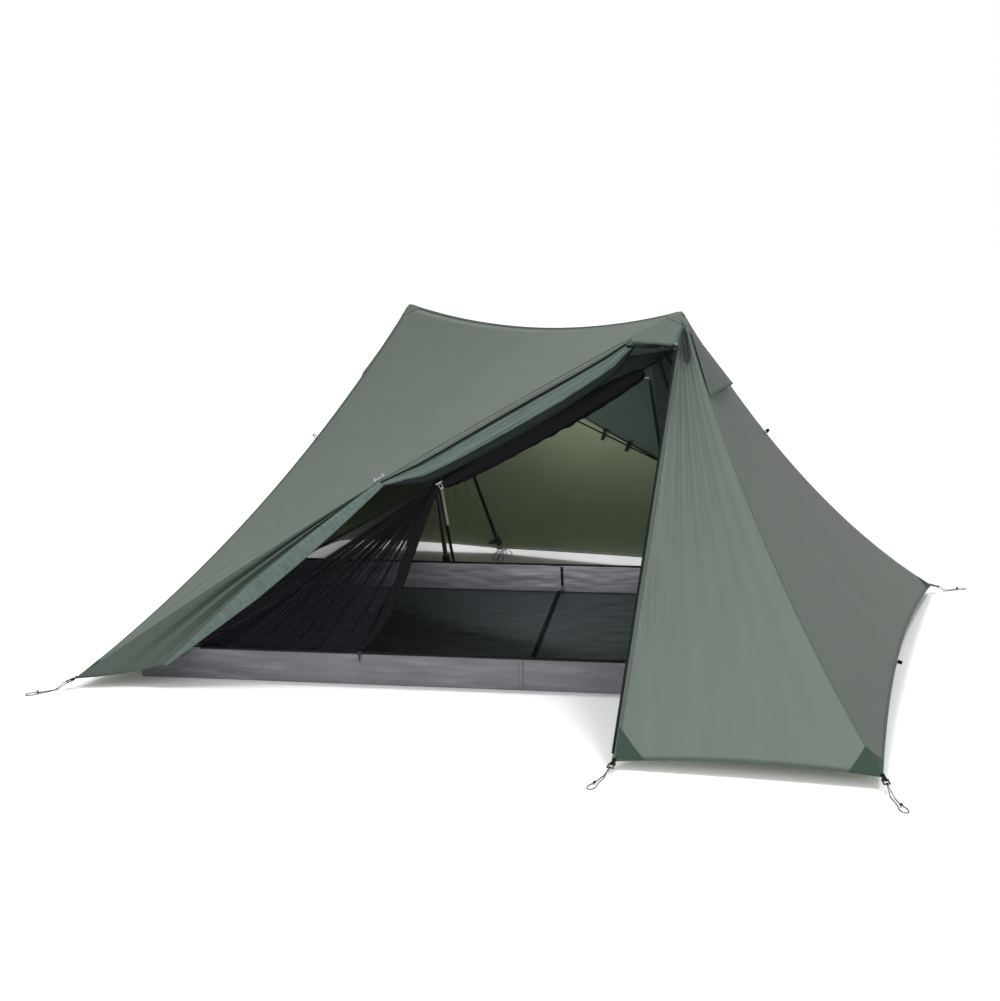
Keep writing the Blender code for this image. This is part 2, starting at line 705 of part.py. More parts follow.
def door_roll(finish):
    """The rolled door: a thick roll below the crease, pinched by its toggle, then a flat strip."""
    along_crease = (OPEN_CREASE(TOGGLE_SHARE) - OPEN_CREASE(ROLL_START_SHARE)).normalized()
    hang = square_to(ROLL_HANG_SHARES, along_crease)
    edge_drop = FLY_THICKNESS + ROLL_GAP
    centres, wides, sizes = [], [], []
    for ring in range(ROLL_RINGS + 1):
        walked = ring / ROLL_RINGS
        bulge = bow_share(walked) ** ROLL_BULGE_POWER
        plain = ROLL_END_SIZE + (PINCH_SIZE - ROLL_END_SIZE) * walked
        height = plain + (ROLL_HEIGHT - plain) * bulge
        width = plain + (ROLL_WIDTH - plain) * bulge
        crease = OPEN_CREASE(ROLL_START_SHARE + (TOGGLE_SHARE - ROLL_START_SHARE) * walked)
        centres.append(crease + hang * (height / 2 + edge_drop))
        wides.append(hang)
        sizes.append((height, width))
    pinch = centres[-1]
    along_strip = (STRIP_FOOT - pinch).normalized()
    spread = square_to(STRIP_FOOT - FRONT_LEFT, along_strip)

    def strip_width(walked):
        swell = bow_share(min(STRIP_SWELL_START_SHARE + walked * STRIP_SWELL_SHARE, 0.5))
        end = max(0, walked - STRIP_TAPER_SHARE) / (1 - STRIP_TAPER_SHARE)
        wide = PINCH_SIZE + (STRIP_WIDTH - PINCH_SIZE) * swell
        return wide + (STRIP_END_SIZE - wide) * end

    for ring in range(1, STRIP_RINGS + 1):
        walked = ring / STRIP_RINGS
        thick = PINCH_SIZE + (STRIP_THICKNESS - PINCH_SIZE) * bow_share(walked)
        centres.append(pinch.lerp(STRIP_FOOT, walked))
        wides.append(hang.lerp(spread, min(1, walked / STRIP_TURN_SHARE)))
        sizes.append((strip_width(walked), thick + (STRIP_END_SIZE - thick) * walked ** 3))

    def strip_edge(walked):
        centre = pinch.lerp(STRIP_FOOT, walked)
        side = square_to(hang.lerp(spread, min(1, walked / STRIP_TURN_SHARE)), along_strip)
        return centre - side * (strip_width(walked) / 2 - STRIP_OVERLAP)

    roll = sweep("door_roll", finish, centres, wides, sizes, roll_section())
    return roll, strip_edge


def door_flap(finish, strip_edge):
    """The part of the front door that stays spread between the crease and the strip."""
    span = 1 - TOGGLE_SHARE

    def crease_part(walked):
        return OPEN_CREASE(TOGGLE_SHARE + span * walked)

    def fold(across, down):
        depth = FLAP_FOLD_DEPTH * bow_share(across) * down
        return depth * math.sin(2 * math.pi * FLAP_FOLD_COUNT * across)

    first_node = math.ceil(FLAP_START_SHARE * FLY_ROWS)
    nodes = [FLAP_START_SHARE] + [node / FLY_ROWS for node in range(first_node, FLY_ROWS)]
    nodes.append(DOOR_END_SHARE)
    shares = [(node - TOGGLE_SHARE) / span for node in nodes]
    normal = outward_normal(OPEN_CREASE(TOGGLE_SHARE), FRONT_LEFT, strip_edge(1))
    hem = faceted_curve(FRONT_LEFT, strip_edge(1), FLAP_HEM_BOW, FLAP_COLUMNS)
    return panel("door_flap", finish, crease_part, strip_edge, hem, normal,
                 {"left": CREASE_MITRE}, shares, FLAP_COLUMNS, relief=fold)


# Vent frame on the right end panel
def vent_points(share):
    """Left and right ends of the vent's width at a share down the end panel."""
    left, right = END_SEAM_RIGHT(share), MAIN_SEAM_RIGHT(share)
    return left, right, (left + right) / 2


VENT_ALONG = (vent_points(VENT_EDGE_SHARE)[0] - vent_points(VENT_EDGE_SHARE)[1]).normalized()
VENT_TOP = vent_points(VENT_TOP_SHARE)[2]
VENT_DOWN = square_to(vent_points(VENT_EDGE_SHARE)[2] - VENT_TOP, VENT_ALONG)
VENT_OUT = VENT_ALONG.cross(VENT_DOWN)
VENT_REACH = (vent_points(VENT_EDGE_SHARE)[2] - VENT_TOP).dot(VENT_DOWN)
VENT_HINGE = VENT_TOP + VENT_OUT * VENT_CLEARANCE


def vent_half_width(walked):
    """Half the hood's width from its hinge, 0, to its free edge, 1."""
    top_left, top_right, _ = vent_points(VENT_TOP_SHARE)
    edge_left, edge_right, _ = vent_points(VENT_EDGE_SHARE)
    top = (top_right - top_left).length / 2
    edge = (edge_right - edge_left).length / 2
    return top + (edge - top) * walked - VENT_SIDE_MARGIN


def vent_frame():
    """The hinge frame: X along the hinge, Y down the panel, Z out."""
    turn = Matrix((VENT_ALONG, VENT_DOWN, VENT_OUT)).transposed().to_4x4()
    return Matrix.Translation(VENT_HINGE) @ turn


def build_vents(finish, strut_finish):
    """Hoods hinged at their top edge, each held open by a strut that falls as it closes."""
    grid, offsets = [], []
    tilt = Matrix.Rotation(VENT_LIFT_ANGLE, 3, "X")
    for row in range(VENT_ROWS + 1):
        walked = row / VENT_ROWS
        line = []
        for column in range(VENT_COLUMNS + 1):
            across = 2 * column / VENT_COLUMNS - 1
            crown = VENT_CROWN * walked * (1 - across * across)
            closed = Vector((across * vent_half_width(walked), walked * VENT_REACH, crown))
            line.append(tilt @ closed)
        grid.append(line)
        offsets.append([tilt @ (UP * VENT_THICKNESS)] * (VENT_COLUMNS + 1))
    points, faces = sheet_solid(grid, offsets)
    hood = make_object("vent_hood_right", points, faces, finish)
    hood.matrix_world = vent_frame()

    near_edge = 1 - STRUT_THICKNESS * 2 / VENT_REACH
    under = Vector((0, VENT_REACH * near_edge, VENT_CROWN * near_edge - VENT_THICKNESS))
    top = tilt @ under - UP * STRUT_GAP
    foot = Vector((0, VENT_REACH + STRUT_THICKNESS * 2, -VENT_CLEARANCE / 4))
    rise = (top - foot).normalized()
    across = Vector((1, 0, 0))
    middle = (top - foot) / 2
    strut = block("vent_strut_right", strut_finish, middle, (across, rise.cross(across), rise),
                  (STRUT_WIDTH, STRUT_THICKNESS, (top - foot).length))
    strut.matrix_world = vent_frame() @ Matrix.Translation(foot)
    bpy.context.view_layer.update()
    copy_half_turn(hood, "vent_hood_left")
    copy_half_turn(strut, "vent_strut_left")


# Poles, from the seat in the peak down to the grip on the ground
POLE_AXIS = (POLE_FOOT - PEAK_RIGHT).normalized()
POLE_LENGTH = (POLE_FOOT - PEAK_RIGHT).length
SEAT_SHOULDER = TIP_DEPTH + FIT_GAP


def pole_frame():
    """The right pole's frame: origin at the peak, Z down along the pole."""
    side = square_to(ALONG_INNER, POLE_AXIS)
    return frame_matrix(PEAK_RIGHT, side, POLE_AXIS)


def peak_cap(name, finish, peak, lines, normals):
    """A reinforced five-sided cap over a peak, with the seat for a pole tip."""
    rings = {"inner": [], "outer": []}
    for number, line in enumerate(lines):
        along = (line(1 / FLY_ROWS) - peak).normalized()
        out = mitre(normals[number - 1], normals[number])
        for reach in (CAP_ROUND, CAP_REACH):
            rings["inner"].append(peak + along * reach + out * CAP_GAP)
            rings["outer"].append(peak + along * reach + out * (CAP_GAP + CAP_THICKNESS))
    top = peak + UP * (CAP_GAP + CAP_THICKNESS * 2 - CAP_DROP)
    bottom = top - UP * (CAP_THICKNESS * 2)
    points = [top] + rings["outer"] + [bottom] + rings["inner"]
    sides = len(lines)
    low = 2 * sides + 1
    faces = []
    for side in range(sides):
        near, far = 1 + 2 * side, 2 + 2 * side
        next_near = 1 + 2 * ((side + 1) % sides)
        next_far = next_near + 1
        faces += [(0, near, next_near), (near, far, next_far), (near, next_far, next_near)]
        faces += [(low, low + next_near, low + near)]
        faces += [(low + near, low + next_far, low + far), (low + near, low + next_near, low + next_far)]
        faces += [(far, low + far, low + next_far), (far, low + next_far, next_far)]
    cap = make_object(name, points, faces, finish)
    return cap


def add_pole_seat(cap, finish, axis, peak):
    """The blind seat under a peak, turned about the pole's line."""
    cone = SEAT_RADIUS * SEAT_CONE_SHARE
    profile = [(0, CAP_DROP * SEAT_TIP_SHARE), (cone, CAP_DROP), (SEAT_RADIUS, SEAT_SHOULDER),
               (SEAT_RADIUS, SEAT_DEPTH), (SEAT_BORE_RADIUS, SEAT_DEPTH),
               (SEAT_BORE_RADIUS, TIP_DEPTH - FIT_GAP), (0, TIP_DEPTH - FIT_GAP)]
    seat = turned("pole_seat", finish, profile, peak, axis, segments=12)
    combine(cap, seat, "UNION")
    remove_objects(bake(cap))


def build_peak_caps(finish):
    """Both caps; only the lines of the door creases differ."""
    right_lines = [reverse(RIDGE), OPEN_CREASE, ZIP_LINE_FRONT, END_SEAM_RIGHT, MAIN_SEAM_RIGHT]
    right_normals = [MAIN_FRONT_NORMAL, DOOR_NORMAL, VESTIBULE_NORMAL, END_RIGHT_NORMAL,
                     MAIN_REAR_NORMAL]
    left_lines = [RIDGE, CLOSED_CREASE, ZIP_LINE_REAR, END_SEAM_LEFT, MAIN_SEAM_LEFT]
    left_normals = [half_turn(normal) for normal in right_normals]
    right = peak_cap("peak_cap_right", finish, PEAK_RIGHT, right_lines, right_normals)
    left = peak_cap("peak_cap_left", finish, PEAK_LEFT, left_lines, left_normals)
    add_pole_seat(right, finish, POLE_AXIS, PEAK_RIGHT)
    add_pole_seat(left, finish, half_turn(POLE_AXIS), PEAK_LEFT)


def build_poles(metal, plastic, rubber):
    """Two telescoping poles, stood on their grips with the tips in the peaks."""
    start, down = Vector(), UP
    grip_top = POLE_LENGTH - GRIP_LENGTH
    tube_top = grip_top - TUBE_LENGTH
    tube_end = POLE_LENGTH - GRIP_LENGTH / 3
    shaft_end = tube_top + SHAFT_OVERLAP
    bore = TUBE_RADIUS - TUBE_WALL
    sleeve_end = SEAT_DEPTH + TIP_LENGTH + TIP_SLEEVE_RADIUS
    shaft = turned("pole_lower_shaft_front", metal, [
        (0, TIP_DEPTH), (TIP_RADIUS * TIP_POINT_SHARE, TIP_DEPTH + TIP_RADIUS / 2),
        (TIP_RADIUS, SEAT_DEPTH + TIP_RADIUS * 2),
        (TIP_SLEEVE_RADIUS * TIP_POINT_SHARE, SEAT_DEPTH + TIP_LENGTH / 3),
        (TIP_SLEEVE_RADIUS, BASKET_DEPTH - BASKET_THICKNESS),
        (BASKET_RADIUS, BASKET_DEPTH - BASKET_THICKNESS / 2),
        (BASKET_RADIUS, BASKET_DEPTH + BASKET_THICKNESS / 2),
        (TIP_SLEEVE_RADIUS, BASKET_DEPTH + BASKET_THICKNESS),
        (TIP_SLEEVE_RADIUS, sleeve_end), (SHAFT_RADIUS, sleeve_end), (SHAFT_RADIUS, shaft_end),
        (0, shaft_end)], start, down)
    tube = turned("pole_upper_tube_front", metal, [
        (bore, tube_top), (TUBE_RADIUS, tube_top), (TUBE_RADIUS, tube_end), (0, tube_end),
        (0, tube_end - TUBE_WALL * 2), (bore, tube_end - TUBE_WALL * 2)], start, down)
    close_bore(tube)
    socket = TUBE_RADIUS + TUBE_BORE_GAP
    outline = [(GRIP_RADIUS * radius, grip_top + GRIP_LENGTH * down_share)
               for radius, down_share in GRIP_SHARES]
    heel = tube_end + TUBE_BORE_GAP
    grip = turned("pole_grip_front", rubber, [(socket, grip_top)] + outline
                  + [(0, POLE_LENGTH), (0, heel), (socket, heel)], start, down)
    close_bore(grip)
    clamp, lug, lever = pole_clamp(plastic, tube_top)
    fuse("pole_upper_tube_front", tube, [clamp, lug])
    for piece in (shaft, tube, grip, lever):
        piece.matrix_world = pole_frame() @ piece.matrix_world
    bpy.context.view_layer.update()
    for piece in (shaft, tube, grip, lever):
        copy_half_turn(piece, piece.name.replace("_front", "_rear"))


def close_bore(piece):
    """Close the mouth of a bore whose turned profile starts on the bore's wall."""
    shape = bmesh.new()
    shape.from_mesh(piece.data)
    open_edges = [edge for edge in shape.edges if edge.is_boundary]
    bmesh.ops.bridge_loops(shape, edges=open_edges)
    bmesh.ops.recalc_face_normals(shape, faces=shape.faces)
    shape.to_mesh(piece.data)
    shape.free()


def pole_clamp(finish, tube_top):
    """The lock at the tube's mouth: a collar with a lug, and its hinged lever."""
    inner = TUBE_RADIUS - FIT_GAP
    outer = inner + CLAMP_WALL
    above = CLAMP_LENGTH / 3
    profile = [(SHAFT_RADIUS + FIT_GAP, tube_top - above), (outer, tube_top - above),
               (outer, tube_top - above + CLAMP_LENGTH), (inner, tube_top - above + CLAMP_LENGTH),
               (inner, tube_top + FIT_GAP), (SHAFT_RADIUS + FIT_GAP, tube_top + FIT_GAP)]
    collar = turned("clamp_collar", finish, profile, Vector(), UP)
    close_bore(collar)
    lug_size = CLAMP_LENGTH / 3
    lug_out = outer + LEVER_THICKNESS / 2
    lug_level = tube_top - above + CLAMP_LENGTH / 2
    lug = block("clamp_lug", finish, Vector((lug_out, 0, lug_level)),
                (Vector((1, 0, 0)), Vector((0, 1, 0)), UP),
                (LEVER_THICKNESS * 2, LEVER_WIDTH, lug_size))
    pivot = Vector((lug_out + LEVER_THICKNESS * 1.5 + FIT_GAP, 0, lug_level - lug_size / 2))
    lever = block("pole_lock_lever_front", finish, Vector((0, 0, LEVER_LENGTH / 2)),
                  (Vector((1, 0, 0)), Vector((0, 1, 0)), UP),
                  (LEVER_THICKNESS, LEVER_WIDTH, LEVER_LENGTH))
    lever.matrix_world = Matrix.Translation(pivot)
    bpy.context.view_layer.update()
    return collar, lug, lever


# Seam lines and facet normals of the inner tent
INNER_RIDGE = faceted_curve(INNER_PEAK_LEFT, INNER_PEAK_RIGHT, INNER_RIDGE_BOW, INNER_ROWS)
INNER_SIDE_RIGHT = faceted_curve(INNER_PEAK_RIGHT, INNER_REAR_RIGHT, INNER_SIDE_BOW, INNER_ROWS)
INNER_END_RIGHT = faceted_curve(INNER_PEAK_RIGHT, INNER_FRONT_RIGHT, INNER_END_BOW, INNER_ROWS)
INNER_CREASE = faceted_curve(INNER_PEAK_RIGHT, INNER_FRONT_LEFT, INNER_CREASE_BOW, INNER_ROWS)
INNER_ZIP_LINE = faceted_curve(INNER_PEAK_RIGHT, INNER_BASE_FRONT, Vector(), INNER_ROWS)
INNER_CREASE_REAR = on_other_half(INNER_CREASE)
INNER_ZIP_LINE_REAR = on_other_half(INNER_ZIP_LINE)

INNER_ROOF_NORMAL = outward_normal(INNER_FRONT_LEFT, INNER_PEAK_LEFT, INNER_PEAK_RIGHT)
INNER_END_NORMAL = outward_normal(INNER_PEAK_RIGHT, INNER_FRONT_RIGHT, INNER_REAR_RIGHT)
INNER_SIDE_NORMAL = outward_normal(INNER_PEAK_RIGHT, INNER_BASE_FRONT, INNER_FRONT_RIGHT)
INNER_RIDGE_MITRE = mitre(INNER_ROOF_NORMAL, half_turn(INNER_ROOF_NORMAL))
INNER_CREASE_MITRE = mitre(INNER_ROOF_NORMAL, INNER_SIDE_NORMAL)
INNER_END_MITRE = mitre(INNER_END_NORMAL, INNER_SIDE_NORMAL)
INNER_MAIN_MITRE = mitre(INNER_END_NORMAL, half_turn(INNER_ROOF_NORMAL))
INNER_SHARES = even_shares(CORNER_START_SHARE, 1, INNER_ROWS)
INNER_DOOR_SHARES = even_shares(CORNER_START_SHARE, DOOR_END_SHARE, INNER_ROWS)


def straight(start, end):
    """A straight line as a function of its share."""
    return lambda share: start.lerp(end, share)


def build_inner_mesh(finish):
    """The inner tent's mesh facets; the front door is open, the rear one closed."""
    roof = panel(
        "inner_roof_front", finish, reverse(on_other_half(INNER_SIDE_RIGHT)),
        reverse(INNER_CREASE), INNER_RIDGE, INNER_ROOF_NORMAL,
        {"left": half_turn(INNER_MAIN_MITRE), "right": INNER_CREASE_MITRE,
         "far": INNER_RIDGE_MITRE}, INNER_SHARES, INNER_ROWS, MESH_THICKNESS)
    fixed = facet_grid(
        INNER_ZIP_LINE, INNER_END_RIGHT, straight(INNER_BASE_FRONT, INNER_FRONT_RIGHT),
        INNER_SIDE_NORMAL, {"left": INNER_SIDE_NORMAL}, INNER_SHARES, INNER_ROWS, MESH_THICKNESS)
    end = facet_grid(
        INNER_END_RIGHT, INNER_SIDE_RIGHT, straight(INNER_FRONT_RIGHT, INNER_REAR_RIGHT),
        INNER_END_NORMAL, {"right": INNER_MAIN_MITRE}, INNER_SHARES, INNER_ROWS, MESH_THICKNESS)
    grid = [one[:-1] + two for one, two in zip(fixed[0], end[0])]
    fold = [INNER_END_MITRE * MESH_THICKNESS]
    drops = [one[:-1] + fold + two[1:] for one, two in zip(fixed[1], end[1])]
    points, faces = sheet_solid(grid, drops)
    end = make_object("inner_end_right", points, faces, finish)
    rear_normal = half_turn(INNER_SIDE_NORMAL)
    door = panel(
        "inner_door_rear", finish, INNER_CREASE_REAR, INNER_ZIP_LINE_REAR,
        straight(INNER_REAR_RIGHT, INNER_BASE_REAR), rear_normal,
        {"left": half_turn(INNER_CREASE_MITRE), "right": rear_normal}, INNER_DOOR_SHARES,
        INNER_ROWS, MESH_THICKNESS)
    ball = bmesh.new()
    bmesh.ops.create_icosphere(ball, subdivisions=2, radius=INNER_CUT_RADIUS)
    mesh = bpy.data.meshes.new("inner_peak_cut")
    ball.to_mesh(mesh)
    ball.free()
    cutters = []
    for number, place in enumerate((INNER_PEAK_RIGHT, INNER_PEAK_LEFT)):
        cutter = bpy.data.objects.new(f"inner_peak_cut_{number}", mesh)
        cutter.location = place
        bpy.context.scene.collection.objects.link(cutter)
        cutters.append(cutter)
    bpy.context.view_layer.update()
    for piece in (roof, end):
        combine(piece, cutters[0], "DIFFERENCE")
    for piece in (roof, door):
        combine(piece, cutters[1], "DIFFERENCE")
    tools = []
    for piece in (roof, end, door):
        tools += bake(piece)
    remove_objects(tools)
    copy_half_turn(roof, "inner_roof_rear")
    copy_half_turn(end, "inner_end_left")


def gather_pleat(across, down):
    """Pleats of the door's hanging part, fanning from its toggle."""
    depth = PLEAT_DEPTH * bow_share(across) * bow_share(0.5 * down)
    return -depth * (0.5 + 0.5 * math.sin(2 * math.pi * PLEAT_COUNT * across ** PLEAT_SPREAD_POWER))


def build_inner_front_door(finish):
    """The open mesh door: pleats hanging from the toggle, and the roll above it."""
    toggle = INNER_CREASE(INNER_TOGGLE_SHARE)
    slider = inner_front_point(INNER_SLIDER_X, MESH_FOOT)
    span = 1 - INNER_TOGGLE_SHARE

    def crease_part(walked):
        return INNER_CREASE(INNER_TOGGLE_SHARE + span * walked)

    nodes = [0.5] + [node / INNER_ROWS for node in range(4, INNER_ROWS)] + [DOOR_END_SHARE]
    shares = [GATHER_START_SHARE] + [(node - INNER_TOGGLE_SHARE) / span for node in nodes]
    extra = [(one + two) / 2 for one, two in zip(shares, shares[1:])]
    gathered = panel(
        "gathered_mesh", finish, crease_part, straight(toggle, slider),
        straight(INNER_FRONT_LEFT, slider), INNER_SIDE_NORMAL, {"left": INNER_CREASE_MITRE},
        sorted(shares + extra), PLEAT_COLUMNS, MESH_THICKNESS, relief=gather_pleat)

    along = (toggle - INNER_CREASE(INNER_ROLL_START_SHARE)).normalized()
    hang = square_to(ROLL_HANG_SHARES, along)
    centres, wides, sizes = [], [], []
    for ring in range(INNER_ROLL_RINGS + 1):
        walked = ring / INNER_ROLL_RINGS
        bulge = bow_share(walked) ** INNER_ROLL_BULGE_POWER
        height = INNER_ROLL_END_SIZE + (INNER_ROLL_HEIGHT - INNER_ROLL_END_SIZE) * bulge
        width = INNER_ROLL_END_SIZE + (INNER_ROLL_WIDTH - INNER_ROLL_END_SIZE) * bulge
        share = INNER_ROLL_START_SHARE
        share += (INNER_TOGGLE_SHARE - INNER_ROLL_START_SHARE) * walked
        centres.append(INNER_CREASE(share) + hang * (height / 2 + MESH_THICKNESS + ROLL_GAP))
        wides.append(hang)
        sizes.append((height, width))
    centres.append(centres[-1] + along * GATHER_OVERLAP)
    wides.append(hang)
    sizes.append(sizes[-1])
    roll = sweep("rolled_mesh", finish, centres, wides, sizes, roll_section())
    fuse("inner_door_front", roll, [gathered])


def build_inner_floor(floor_finish, wall_finish):
    """The floor with its centre seam, and the bathtub walls around it."""
    corners = [INNER_FRONT_LEFT, INNER_FRONT_RIGHT, INNER_REAR_RIGHT, INNER_REAR_LEFT]
    middle = Vector()

    def loop(inset, level):
        ring = []
        for number, corner in enumerate(corners):
            before, after = corners[number - 1], corners[(number + 1) % 4]
            one = inward(before, corner, middle)
            two = inward(corner, after, middle)
            one.z = two.z = 0
            one, two = one.normalized(), two.normalized()
            shift = (one + two) / (1 + one.dot(two)) * inset
            ring.append(Vector((corner.x + shift.x, corner.y + shift.y, level)))
        return ring

    points = loop(0, 0) + loop(WALL_THICKNESS, 0)
    points += loop(0, BATHTUB_HEIGHT) + loop(WALL_THICKNESS, BATHTUB_HEIGHT)
    faces = []
    for side in range(4):
        after = (side + 1) % 4
        for low, high in ((0, 8), (4, 12), (0, 4), (8, 12)):
            faces.append((low + side, low + after, high + after, high + side))
    make_object("inner_bathtub_walls", points, faces, wall_finish)

    inset = WALL_THICKNESS + FIT_GAP
    floor_points = loop(inset, 0) + loop(inset, FLOOR_THICKNESS)
    floor_faces = [(0, 1, 2, 3), (4, 5, 6, 7)]
    floor_faces += [(side, (side + 1) % 4, (side + 1) % 4 + 4, side + 4) for side in range(4)]
    floor = make_object("inner_floor", floor_points, floor_faces, floor_finish)
    seam_length = 2 * (INNER_HALF_WIDTH - inset) - FLOOR_SEAM_WIDTH
    level = (FLOOR_THICKNESS + FLOOR_SEAM_HEIGHT) / 2
    seam = block("floor_seam", floor_finish, UP * level, (ALONG_INNER, INNER_FRONT, UP),
                 (FLOOR_SEAM_WIDTH, seam_length, FLOOR_SEAM_HEIGHT))
    combine(floor, seam, "UNION")
    remove_objects(bake(floor))


def build_inner_zips(finish, slider_finish):
    """Zips along the bathtub's top and up the door's edge, with a slider on each."""
    out = INNER_FRONT
    lift = MESH_FOOT - INNER_ZIP_HEIGHT / 2 - FIT_GAP
    gap = FIT_GAP + INNER_ZIP_THICKNESS / 2
    start = inner_front_point(-INNER_HALF_LENGTH * INNER_ZIP_START_SHARE, lift) + out * gap
    corner = inner_front_point(INNER_DOOR_BASE_X, lift) + out * gap
    length = (corner - start).length
    axes = (ALONG_INNER, UP, out)
    base = block("zip_base", finish, (start + corner) / 2, axes,
                 (length, INNER_ZIP_HEIGHT, INNER_ZIP_THICKNESS))
    rise = (INNER_PEAK_RIGHT - INNER_BASE_FRONT).normalized()
    side_out = INNER_SIDE_NORMAL
    foot = INNER_BASE_FRONT + side_out * gap - rise * (INNER_ZIP_HEIGHT * INNER_ZIP_FOOT_SHARE)
    reach = (INNER_PEAK_RIGHT - INNER_BASE_FRONT).length
    top = foot + rise * (reach - INNER_CAP_REACH - INNER_ZIP_HEIGHT / 2)
    upright = block("zip_upright", finish, (foot + top) / 2,
                    (rise, side_out.cross(rise), side_out),
                    ((top - foot).length, INNER_ZIP_HEIGHT, INNER_ZIP_THICKNESS))
    combine(base, upright, "UNION")
    remove_objects(bake(base))
    base.name = "inner_zip_front"
    copy_half_turn(base, "inner_zip_rear")

    at_front = inner_front_point(INNER_SLIDER_X, lift) + out * gap
    front = zip_slider("inner_zip_slider_front", slider_finish, INNER_ZIP_HEIGHT,
                       INNER_ZIP_THICKNESS, ALONG_INNER, out, at_front)
    rear_x = INNER_DOOR_BASE_X - SLIDER_LENGTH * SLIDER_REST_SHARE
    rear = half_turn(inner_front_point(rear_x, lift) + out * gap)
    other = bpy.data.objects.new("inner_zip_slider_rear", front.data)
    other.matrix_world = frame_matrix(rear, -ALONG_INNER, -out)
    bpy.context.scene.collection.objects.link(other)


def zip_slider(name, finish, tape_width, tape_thickness, along, out, place):
    """A saddle over a zip with its pull tab; the local X runs along the zip, Z out."""
    half = tape_width / 2 + SLIDER_GAP
    wide = half + SLIDER_WALL
    low = -tape_thickness / 2 + SLIDER_WALL * SLIDER_HOOK_SHARE
    inner = tape_thickness / 2 + SLIDER_GAP
    top = inner + SLIDER_WALL
    outline = [(-wide, low), (-half, low), (-half, inner), (half, inner), (half, low),
               (wide, low), (wide, top), (-wide, top)]
    points = [Vector((end * SLIDER_LENGTH / 2, one, two)) for end in (-1, 1) for one, two in outline]
    count = len(outline)
    faces = [tuple(range(count)), tuple(range(count, 2 * count))]
    faces += [(side, (side + 1) % count, (side + 1) % count + count, side + count)
              for side in range(count)]
    slider = make_object(name, points, faces, finish)
    tab_level = top + PULL_THICKNESS / 4
    tab = block("pull_tab", finish, Vector((0, -PULL_LENGTH / 2, tab_level)),
                (Vector((1, 0, 0)), Vector((0, 1, 0)), UP),
                (PULL_WIDTH, PULL_LENGTH, PULL_THICKNESS))
    combine(slider, tab, "UNION")
    remove_objects(bake(slider))
    slider.matrix_world = frame_matrix(place, along, out)
    bpy.context.view_layer.update()
    return slider


def build_fly_zips(finish, slider_finish):
    """Zip tapes over the door seams from the gusset to the hem, with their sliders."""
    out = ZIP_MITRE.normalized()
    along = (PEAK_RIGHT - BASE_FRONT).normalized()
    out = square_to(out, along)
    lift = out * (FIT_GAP + ZIP_THICKNESS / 2)
    top = ZIP_LINE_FRONT(GUSSET_SHARE) + lift
    bottom = ZIP_LINE_FRONT(ZIP_END_SHARE) + lift
    tape = block("fly_zip_tape_front", finish, (top + bottom) / 2,
                 (along, out.cross(along), out),
                 ((top - bottom).length, ZIP_WIDTH, ZIP_THICKNESS))
    copy_half_turn(tape, "fly_zip_tape_rear")
    margin = SLIDER_LENGTH
    front = zip_slider("fly_zip_slider_front", slider_finish, ZIP_WIDTH, ZIP_THICKNESS, along,
                       out, top - along * margin)
    rear_place = half_turn(bottom + along * margin)
    rear = bpy.data.objects.new("fly_zip_slider_rear", front.data)
    rear.matrix_world = frame_matrix(rear_place, half_turn(along), half_turn(out))
    bpy.context.scene.collection.objects.link(rear)


BASE_STRAP = BASE_FRONT + (FRONT_RIGHT - BASE_FRONT).normalized() * STRAP_SHIFT

# Each stake point: its corner, the way its cord runs, and the seam and outer side of the patch
STAKES = {
    "front_right": (FRONT_RIGHT, Vector((0.046, -0.089, 0)), PEAK_RIGHT, END_MITRE),
    "rear_right": (REAR_RIGHT, Vector((0.080, 0.064, 0)), PEAK_RIGHT, MAIN_MITRE),
    "front_left": (FRONT_LEFT, Vector((-0.076, -0.079, 0)), PEAK_LEFT, MAIN_LEFT_MITRE),
    "base_front": (BASE_STRAP, Vector((-0.010, -0.058, 0)), PEAK_RIGHT, VESTIBULE_NORMAL),
}
OPPOSITE = {"front_right": "rear_left", "base_front": "base_rear"}
STAKE_SLOPE = 0.30
STRAP_INSET = 0.010
STRAP_LIFT = PATCH_GAP + PATCH_THICKNESS / 2
BAND_REACH = WEB_LENGTH - STRAP_INSET
CORD_ENDS_LEVEL = CORD_DIAMETER / 2 + CORD_LIFT


def stake_frame(name):
    """The strap's start, the way out of it, its side and its upper side."""
    anchor, flat, _, patch_out = STAKES[name]
    flat = flat.normalized()
    out = (flat - UP * STAKE_SLOPE).normalized()
    side = UP.cross(flat).normalized()
    return anchor + patch_out.normalized() * STRAP_LIFT, out, side, out.cross(side)


def corner_patch(finish, tip, seam_end, hems, normals):
    """A reinforcement folded over a seam, from a corner to points on the seam and hems."""
    fold_out = mitre(normals[0], normals[1])
    points = []
    for level in (PATCH_GAP, PATCH_GAP + PATCH_THICKNESS):
        points += [tip + fold_out * level, seam_end + fold_out * level]
        points += [hems[0] + normals[0] * level, hems[1] + normals[1] * level]
    faces = [(0, 1, 2), (0, 3, 1), (4, 6, 5), (4, 5, 7),
             (0, 2, 6, 4), (2, 1, 5, 6), (1, 3, 7, 5), (3, 0, 4, 7)]
    return make_object("patch", points, faces, finish)


